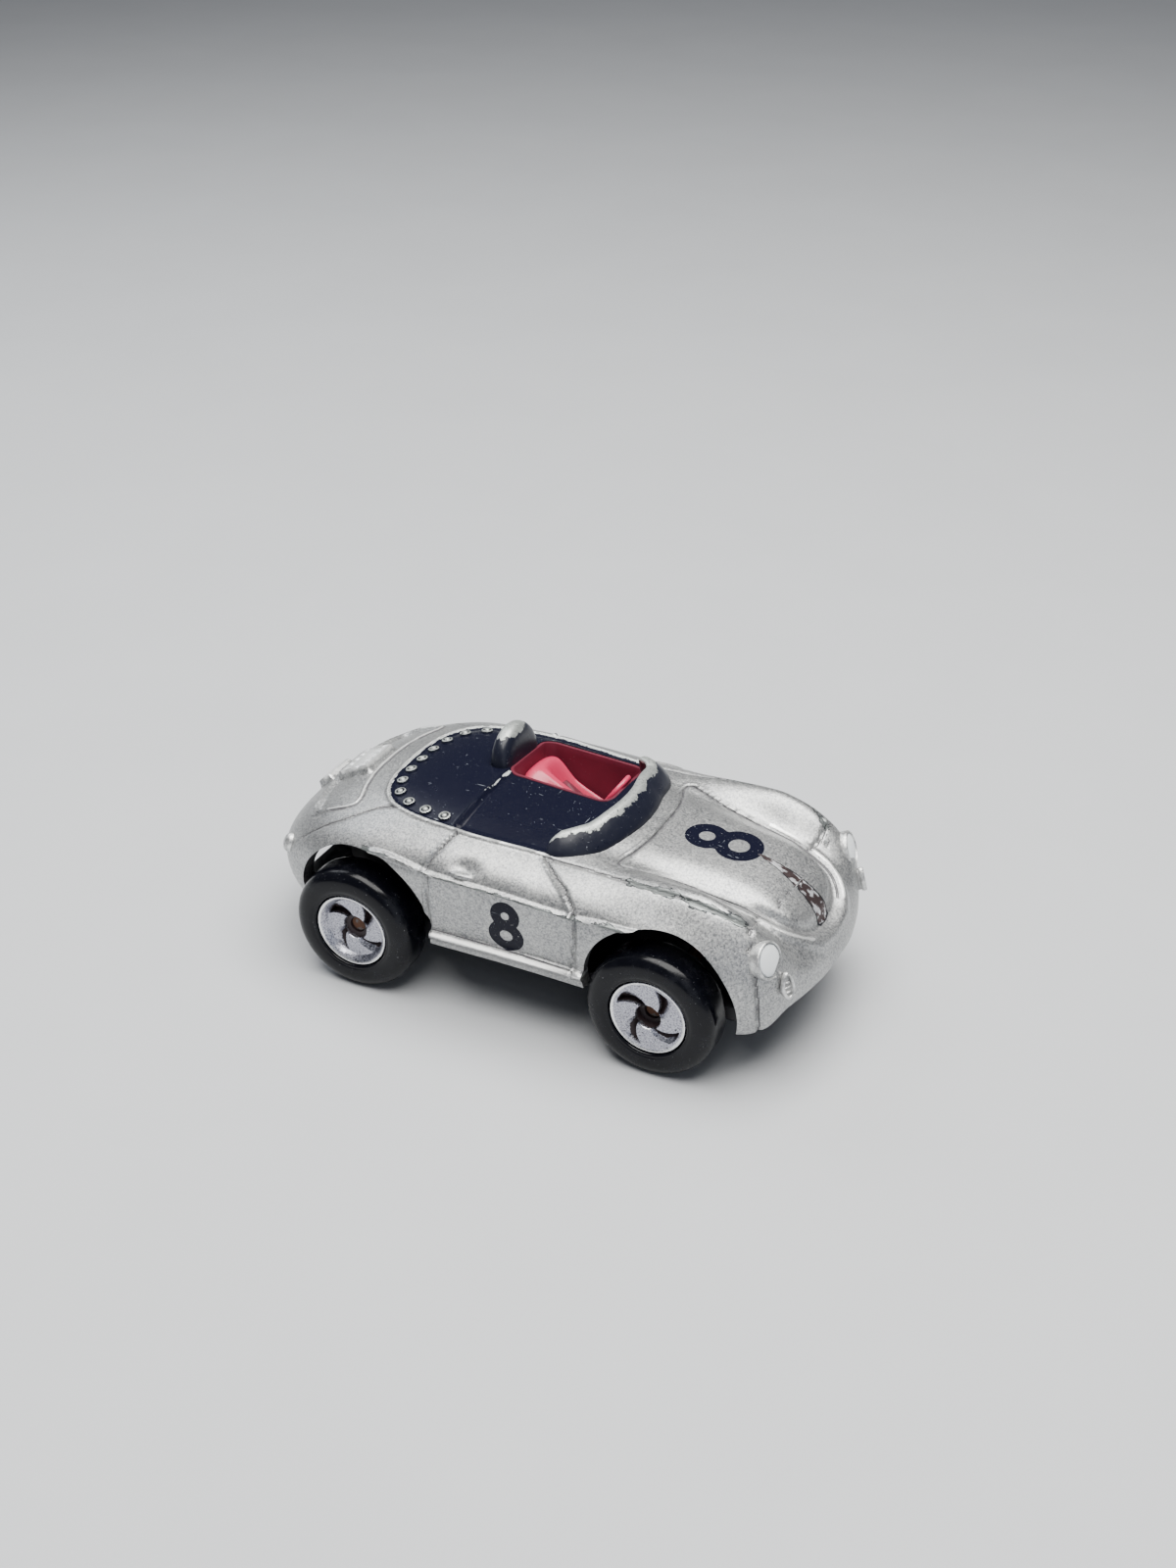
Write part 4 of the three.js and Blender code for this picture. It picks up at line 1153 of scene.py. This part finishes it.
def indicators(material):
    """Oval turn signals: a raised rim around three plain ribs."""
    made = []
    for name, sign in SIDES:
        centre = np.array((INDICATOR["x"], sign * INDICATOR["y"], INDICATOR["z"]))
        axis = Vector((0.86, sign * 0.44, 0.24)).normalized()
        base = egg(0.33, 0.6)
        floor = closed_loft("floor", [np.column_stack([base * k, np.full(60, h)])
            for k, h in ((1.0, -0.5), (1.0, 0.0), (0.6, 0.03), (0.05, 0.04))])
        pieces = [hoop(egg(0.34, 0.62), 0.1, 0.16, 14), floor, *map(rib, (-0.28, 0.0, 0.28))]
        for piece in pieces:
            settle(piece, tilt(axis), centre)
            # The lamp's floor takes a full groove mask: grime and painted shade between the ribs.
            plain_masks(piece, 2.0 if piece is floor else 0.0)
        lamp = join(f"indicator_{name}", pieces)
        coat(lamp, material)
        made.append(smooth(lamp, 50))
    return made


def tail_lights(material):
    made = []
    for name, sign in SIDES:
        x, z = TAIL_LIGHT["x"], TAIL_LIGHT["z"]
        axis = Vector((-0.72, sign * 0.6, 0.3)).normalized()
        centre = Vector((x, sign * float(side_y(x, z)), z)) - axis * 0.08
        dome = turned(f"tail_light_{name}", [(0.5, -0.4), (0.5, 0.1), (0.46, 0.22), (0.36, 0.34),
            (0.2, 0.42), (0.01, 0.45)], centre, axis, 40, 1.2)
        coat(dome, material)
        plain_masks(dome)
        made.append(smooth(dome, 50))
    return made


# ---- interior

TUB_FLOOR = 6.3
TUB_SHELF = 9.0  # the tub is this high behind the seat, over the rear axle
TUB_SHELF_X = -2.6
TUB_MIDDLE = (-0.5, 2.85)
TUB_OUTER = (-4.75, 3.75, -0.35, 6.0, 1.2)  # x from and to, y from and to, corner radius
TUB_RIM = 10.0
TUB_LIP = 0.22  # thickness of the lip that lines the opening


def tub(material):
    """The red moulding inside the cockpit: its floor, its walls, and a lip that lines the opening."""
    middle = np.array(TUB_MIDDLE)
    outer = rounded_rectangle(*TUB_OUTER, 10)
    opening, inner = cockpit_outline(0.02, 10), cockpit_outline(TUB_LIP, 10)
    low_outer = middle + (outer - middle) * 0.88
    low_inner = middle + (inner - middle) * 0.93
    under_skin = np.minimum(TUB_RIM, top_z(*outer.T) - WALL - 0.1)
    edge = top_z(*opening.T)
    behind = np.where(low_outer[:, 0] < TUB_SHELF_X, TUB_SHELF, TUB_FLOOR - 0.45)
    floor_behind = np.where(low_inner[:, 0] < TUB_SHELF_X, TUB_SHELF + 0.2, TUB_FLOOR)
    rows = [(low_outer, behind), (outer, under_skin - 0.3), (outer, under_skin), (opening, under_skin),
        (opening, edge - 0.3), (opening, edge - 0.12), (opening * 0.9 + inner * 0.1, edge - 0.08),
        (inner * 0.9 + opening * 0.1, edge - 0.08), (inner, edge - 0.12), (inner, edge - 0.5),
        (low_inner, np.maximum(floor_behind, 7.0)), (middle + (low_inner - middle) * 0.95, floor_behind),
        (middle + (low_inner - middle) * 0.5, floor_behind)]
    walls = closed_loft("tub_walls", [np.column_stack([ring, np.broadcast_to(height, len(ring))])
        for ring, height in rows])
    coat(walls, material)
    return smooth(walls, 45)


SEAT_RIDGE = ((-4.05, 9.9), (-3.9, 10.2), (-3.7, 10.5), (-3.4, 10.7), (-3.0, 10.72), (-2.5, 10.55),
    (-1.9, 10.2), (-1.1, 9.75), (0.0, 9.25), (0.9, 8.85), (1.5, 8.4))
SEAT_Y = {"right": 0.55, "ridge": 2.5, "left": 5.0}


def seat(material):
    """A bucket seat: a round back, and a broad side bolster that sweeps down and forward."""
    right, top, left = SEAT_Y["right"], SEAT_Y["ridge"], SEAT_Y["left"]
    y = np.linspace(right, left, 90)
    near = np.clip((top - y) / (top - right), 0, 1)
    far = np.clip((y - top) / (left - top), 0, 1)
    rings = []
    for x, height in spline(SEAT_RIDGE, 8):
        back = ease(-x, 1.6, 3.1)
        bolster = 1.5 * near ** 1.8 + bell(near - 0.28, 0.1) * 0.1 * (1 - back)
        hollow = 1.9 * ease(far, 0.05, 0.42) - 0.9 * ease(far, 0.62, 0.9)
        wing = 0.5 * far ** 2.5
        drop = bolster + hollow * (1 - back) + wing * back
        edge = 0.9 * ease(np.maximum(near, far), 0.88, 1.0) ** 2
        piping = 0.07 * bell(near - 0.1, 0.07) * (1 - back)
        z = np.maximum(height - drop - edge + piping, TUB_FLOOR + 0.5)
        low = np.full(len(y), TUB_FLOOR - 0.05)
        rings.append(np.vstack([np.column_stack([np.full(len(y), x), y, z]),
            np.column_stack([np.full(len(y), x), y, low])[::-1]]))
    bucket = closed_loft("seat", rings)
    coat(bucket, material)
    return smooth(bucket, 60)


STEERING_AT = (1.9, 2.85, 10.35)
WHEEL_RIM = 0.98  # radius of the steering wheel's rim
WHEEL_TUBE = 0.16


def steering_wheel(material):
    centre = np.array(STEERING_AT)
    axis = Vector((-0.82, 0, 0.57)).normalized()
    angle = turns(64)
    column = turned("hub", [(0.05, -1.3), (0.22, -1.3), (0.2, -0.1), (0.28, 0.0), (0.24, 0.1), (0.02, 0.14)],
        centre, axis, 32)
    flat = [hoop(WHEEL_RIM * np.column_stack([np.cos(angle), np.sin(angle)]), WHEEL_TUBE, WHEEL_TUBE, 16)]
    section = turns(16)
    for at in turns(3):
        cross = 0.09 * np.cos(section)
        flat.append(closed_loft("spoke", [np.column_stack([t * cos(at) - cross * sin(at),
            t * sin(at) + cross * cos(at), 0.05 * np.sin(section)]) for t in np.linspace(0.1, 0.97, 8)]))
    for piece in flat:
        settle(piece, tilt(axis), centre)
    wheel = join("steering_wheel", [flat[0], column, *flat[1:]])
    coat(wheel, material)
    return smooth(wheel, 50)


# ---- wheels


def arc(centre, radius, start, end, steps):
    angle = np.radians(np.linspace(start, end, steps))
    return [(centre[0] + radius * cos(a), centre[1] + radius * sin(a)) for a in angle]


def wheel_ring(name, rings_profile, node, side, segments, displace=None):
    """A ring turned about Y from a closed profile of [radius, |y|]."""
    points = np.asarray(rings_profile, float)
    centre = centre_mm(node)
    angle = turns(segments)
    rings = []
    for a in angle:
        r, y = points.T
        if displace:
            y = y + displace(r, a, y)
        rings.append(np.column_stack([centre[0] + r * cos(a), side * y, centre[2] + r * sin(a)]))
    flat = np.array(rings).reshape(-1, 3)
    return outward(new_mesh(name, flat, grid_faces(segments, len(points), True)))


TYRE_BORE = 2.34


def tyre(name, side, material):
    low, high = box_mm(name)
    back, face = spread_mm(name)
    radius = (high[2] - low[2]) / 2
    bore = TYRE_BORE
    outline = [(bore, back + 0.3)]
    outline += arc((bore + 0.35, back + 0.3), 0.3, 180, 270, 5)[1:]
    outline += arc((radius - 0.55, back + 0.55), 0.55, 270, 360, 10)
    outline += [(radius, y) for y in np.linspace(back + 0.6, face - 0.95, 8)]
    bulge = np.linspace(0, pi / 2, 22)[1:]
    outline += [(2.8 + (radius - 2.8) * cos(t) ** 0.8, face - 0.95 + 0.95 * sin(t) ** 0.8) for t in bulge]
    outline += [(2.68, face - 0.01), (2.58, face - 0.05)]
    outline += arc((2.5, face - 0.19), 0.13, 70, 170, 6)
    outline += [(bore + 0.01, face - 0.32), (bore, face - 0.38)]
    ring = wheel_ring(f"rubber_{name}", outline, name, side, 112)
    coat(ring, material)
    smooth(ring, 40)
    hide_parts(name)
    return ring


HUB_RADIUS = 2.3
HUB_BORE = 0.49
REAR_DISH = 0.25  # the rear hubs' faces lie deeper in their rims
HUB_SLOTS = 4
HUB_SLOT_WIDE = 0.4  # share of a quarter turn that a slot takes
HUB_SLOT_DEEP = 0.6
HUB_SLOT_SWEEP = 0.55  # radians that a slot's sharp edge turns for each millimetre outward


def slot_depth(r, angle, mirror):
    """Depth of the swept slots at a radius and an angle on the hub's face."""
    edge = 0.73 + HUB_SLOT_SWEEP * (r - 0.77) - angle * mirror
    part = (edge / (2 * pi / HUB_SLOTS)) % 1.0
    outer = ease(-r, -1.98, -1.86)
    ramp = ease(part, 0.0, 0.04) * np.clip(1 - part / HUB_SLOT_WIDE, 0, 1) ** 1.3
    return HUB_SLOT_DEEP * outer * ramp


def hub(name, side, material):
    back, rim = spread_mm(name)
    dish = REAR_DISH if "rear" in name else 0.0
    face = rim - 0.07 - 1.5 * dish
    radius, bore = HUB_RADIUS, HUB_BORE
    flat = radius - 0.3 - 0.9 * dish
    outline = [(bore, back), (1.25, back), (1.35, back + 0.1), (1.5, 7.05), (radius - 0.1, 7.1),
        (radius, 7.2), (radius, rim - 0.08)]
    outline += arc((radius - 0.09, rim - 0.08), 0.08, 0, 150, 7)[1:]
    outline += [(radius - 0.2, rim - 0.06), (flat + 0.06, face + 0.01)]
    outline += [(r, face) for r in np.linspace(flat, 0.8, 40)]
    outline += [(0.77, face - 0.03), (0.75, face - 0.1), (0.74, 7.95), (bore, 7.9)]

    def displace(r, a, y):
        on_face = (y > face - 0.05) & (y < face + 0.005) & (r > 0.76) & (r < flat + 0.01)
        return np.where(on_face, -slot_depth(r, a, -side), 0)

    disc = wheel_ring(f"plated_{name}", outline, name, side, 288, displace)
    coat(disc, material)
    x, y, z = places_mm(disc).T
    depth = face - np.abs(y)
    # Depth in the slots: the plating material darkens deep places as painted shade.
    set_attribute(disc, "deep", 2 * ease(depth, 0.05, 0.45))
    out = np.hypot(x - centre_mm(name)[0], z - centre_mm(name)[2])
    # Rim and hole lip: the plating material lightens them as a painted highlight.
    rim_edge = bell(out - radius + 0.12, 0.1) * (depth < 0.2)
    set_attribute(disc, "edge", np.maximum(rim_edge,
        0.75 * bell(depth - 0.02, 0.03) * (out > 0.72) * (out < 0.95)))
    smooth(disc, 38)
    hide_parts(name)
    return disc


# ---- carried-over CAD nodes


def softened(node, new_name, width_mm, material):
    """A copy of a CAD node with its sharp edges rounded, which stands for the node."""
    piece = frame["nodes"][node].copy()
    piece.data = frame["nodes"][node].data.copy()
    piece.parent = None
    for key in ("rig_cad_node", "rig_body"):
        if key in piece:
            del piece[key]
    piece.name = new_name
    bpy.context.scene.collection.objects.link(piece)
    weld = piece.modifiers.new("weld", "WELD")
    weld.merge_threshold = 1e-7
    bevel = piece.modifiers.new("bevel", "BEVEL")
    bevel.width = width_mm * MM
    bevel.segments = 3
    bevel.limit_method = "ANGLE"
    bevel.angle_limit = radians(32)
    evaluated(piece)
    coat(piece, material)
    smooth(piece, 35)
    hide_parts(node)
    return piece


def dress(material, *nodes):
    for node in nodes:
        for slot in frame["nodes"][node].material_slots:
            slot.material = material


# ---- assembly

add_camera()
add_studio()

silver = paint_material()
black_worn = black_trim_material()
rubber = rubber_material()
plated = plated_material()
white = lamp_material()
red = plastic_material("red_plastic", (0.46, 0.02, 0.065), (0.6, 0.045, 0.11), 0.24, 0.2, 0.2)
black_plastic = plastic_material("black_plastic", (0.012, 0.012, 0.014), (0.02, 0.02, 0.023), 0.42, 0.1)
motor_plastic = plastic_material("motor_plastic", (0.02, 0.02, 0.022), (0.03, 0.03, 0.034), 0.38, 0.14)
nylon = plastic_material("gear_nylon", (0.74, 0.71, 0.62), (0.84, 0.82, 0.74), 0.4, 0.1)
axle_steel = metal_material("axle_steel", 0.16, 0.34, 0.4)
screw_steel = metal_material("screw_steel", 0.52, 0.66, 0.28)
spring_steel = metal_material("spring_steel", 0.34, 0.62, 0.3)


def place(piece, body, slot_name):
    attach(piece, body)


for piece in (body_shell(silver), windscreen(black_worn), headrest(black_worn), deck_studs(black_worn),
        *headlights(white, silver), *indicators(silver), *tail_lights(silver)):
    place(piece, "car_body", "silver_paint")

# The tub's walls get a much darker copy of the red plastic: painted shade for the shadow inside the cockpit.
shaded_red = plastic_material("red_plastic_painted_shade", (0.075, 0.006, 0.016), (0.13, 0.01, 0.026), 0.4, 0.2)
walls = tub(shaded_red)
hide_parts("interior_tub")
for piece in (walls, seat(red), steering_wheel(red)):
    place(piece, "car_body", "red_plastic")

for end in ("front", "rear"):
    for name, side in SIDES[::-1]:
        place(tyre(f"tyre_{end}_{name}", side, rubber), f"{end}_axle_set", "tyre_black")
        place(hub(f"hub_{end}_{name}", side, plated), f"{end}_axle_set", "hub_chrome")

place(softened("chassis_plate", "chassis", 0.12, black_plastic), "car_body", "black_plastic")
for side in ("left", "right"):
    place(softened(f"motor_case_{side}", f"motor_{side}", 0.1, motor_plastic), "car_body", "motor_plastic")
dress(axle_steel, "front_axle", "rear_axle", "clutch_gear_pin", "spring_arbor")
dress(screw_steel, "chassis_screw_front", "chassis_screw_rear")
dress(nylon, "drive_pinion", "clutch_gear", "spring_gear")
dress(spring_steel, "mainspring")

FLOOR_HALF = 900.0
corners = [(x * FLOOR_HALF, y * FLOOR_HALF, 0) for x, y in ((-1, -1), (1, -1), (1, 1), (-1, 1))]
floor = new_mesh("floor", corners, [(0, 1, 2, 3)], floor_material())
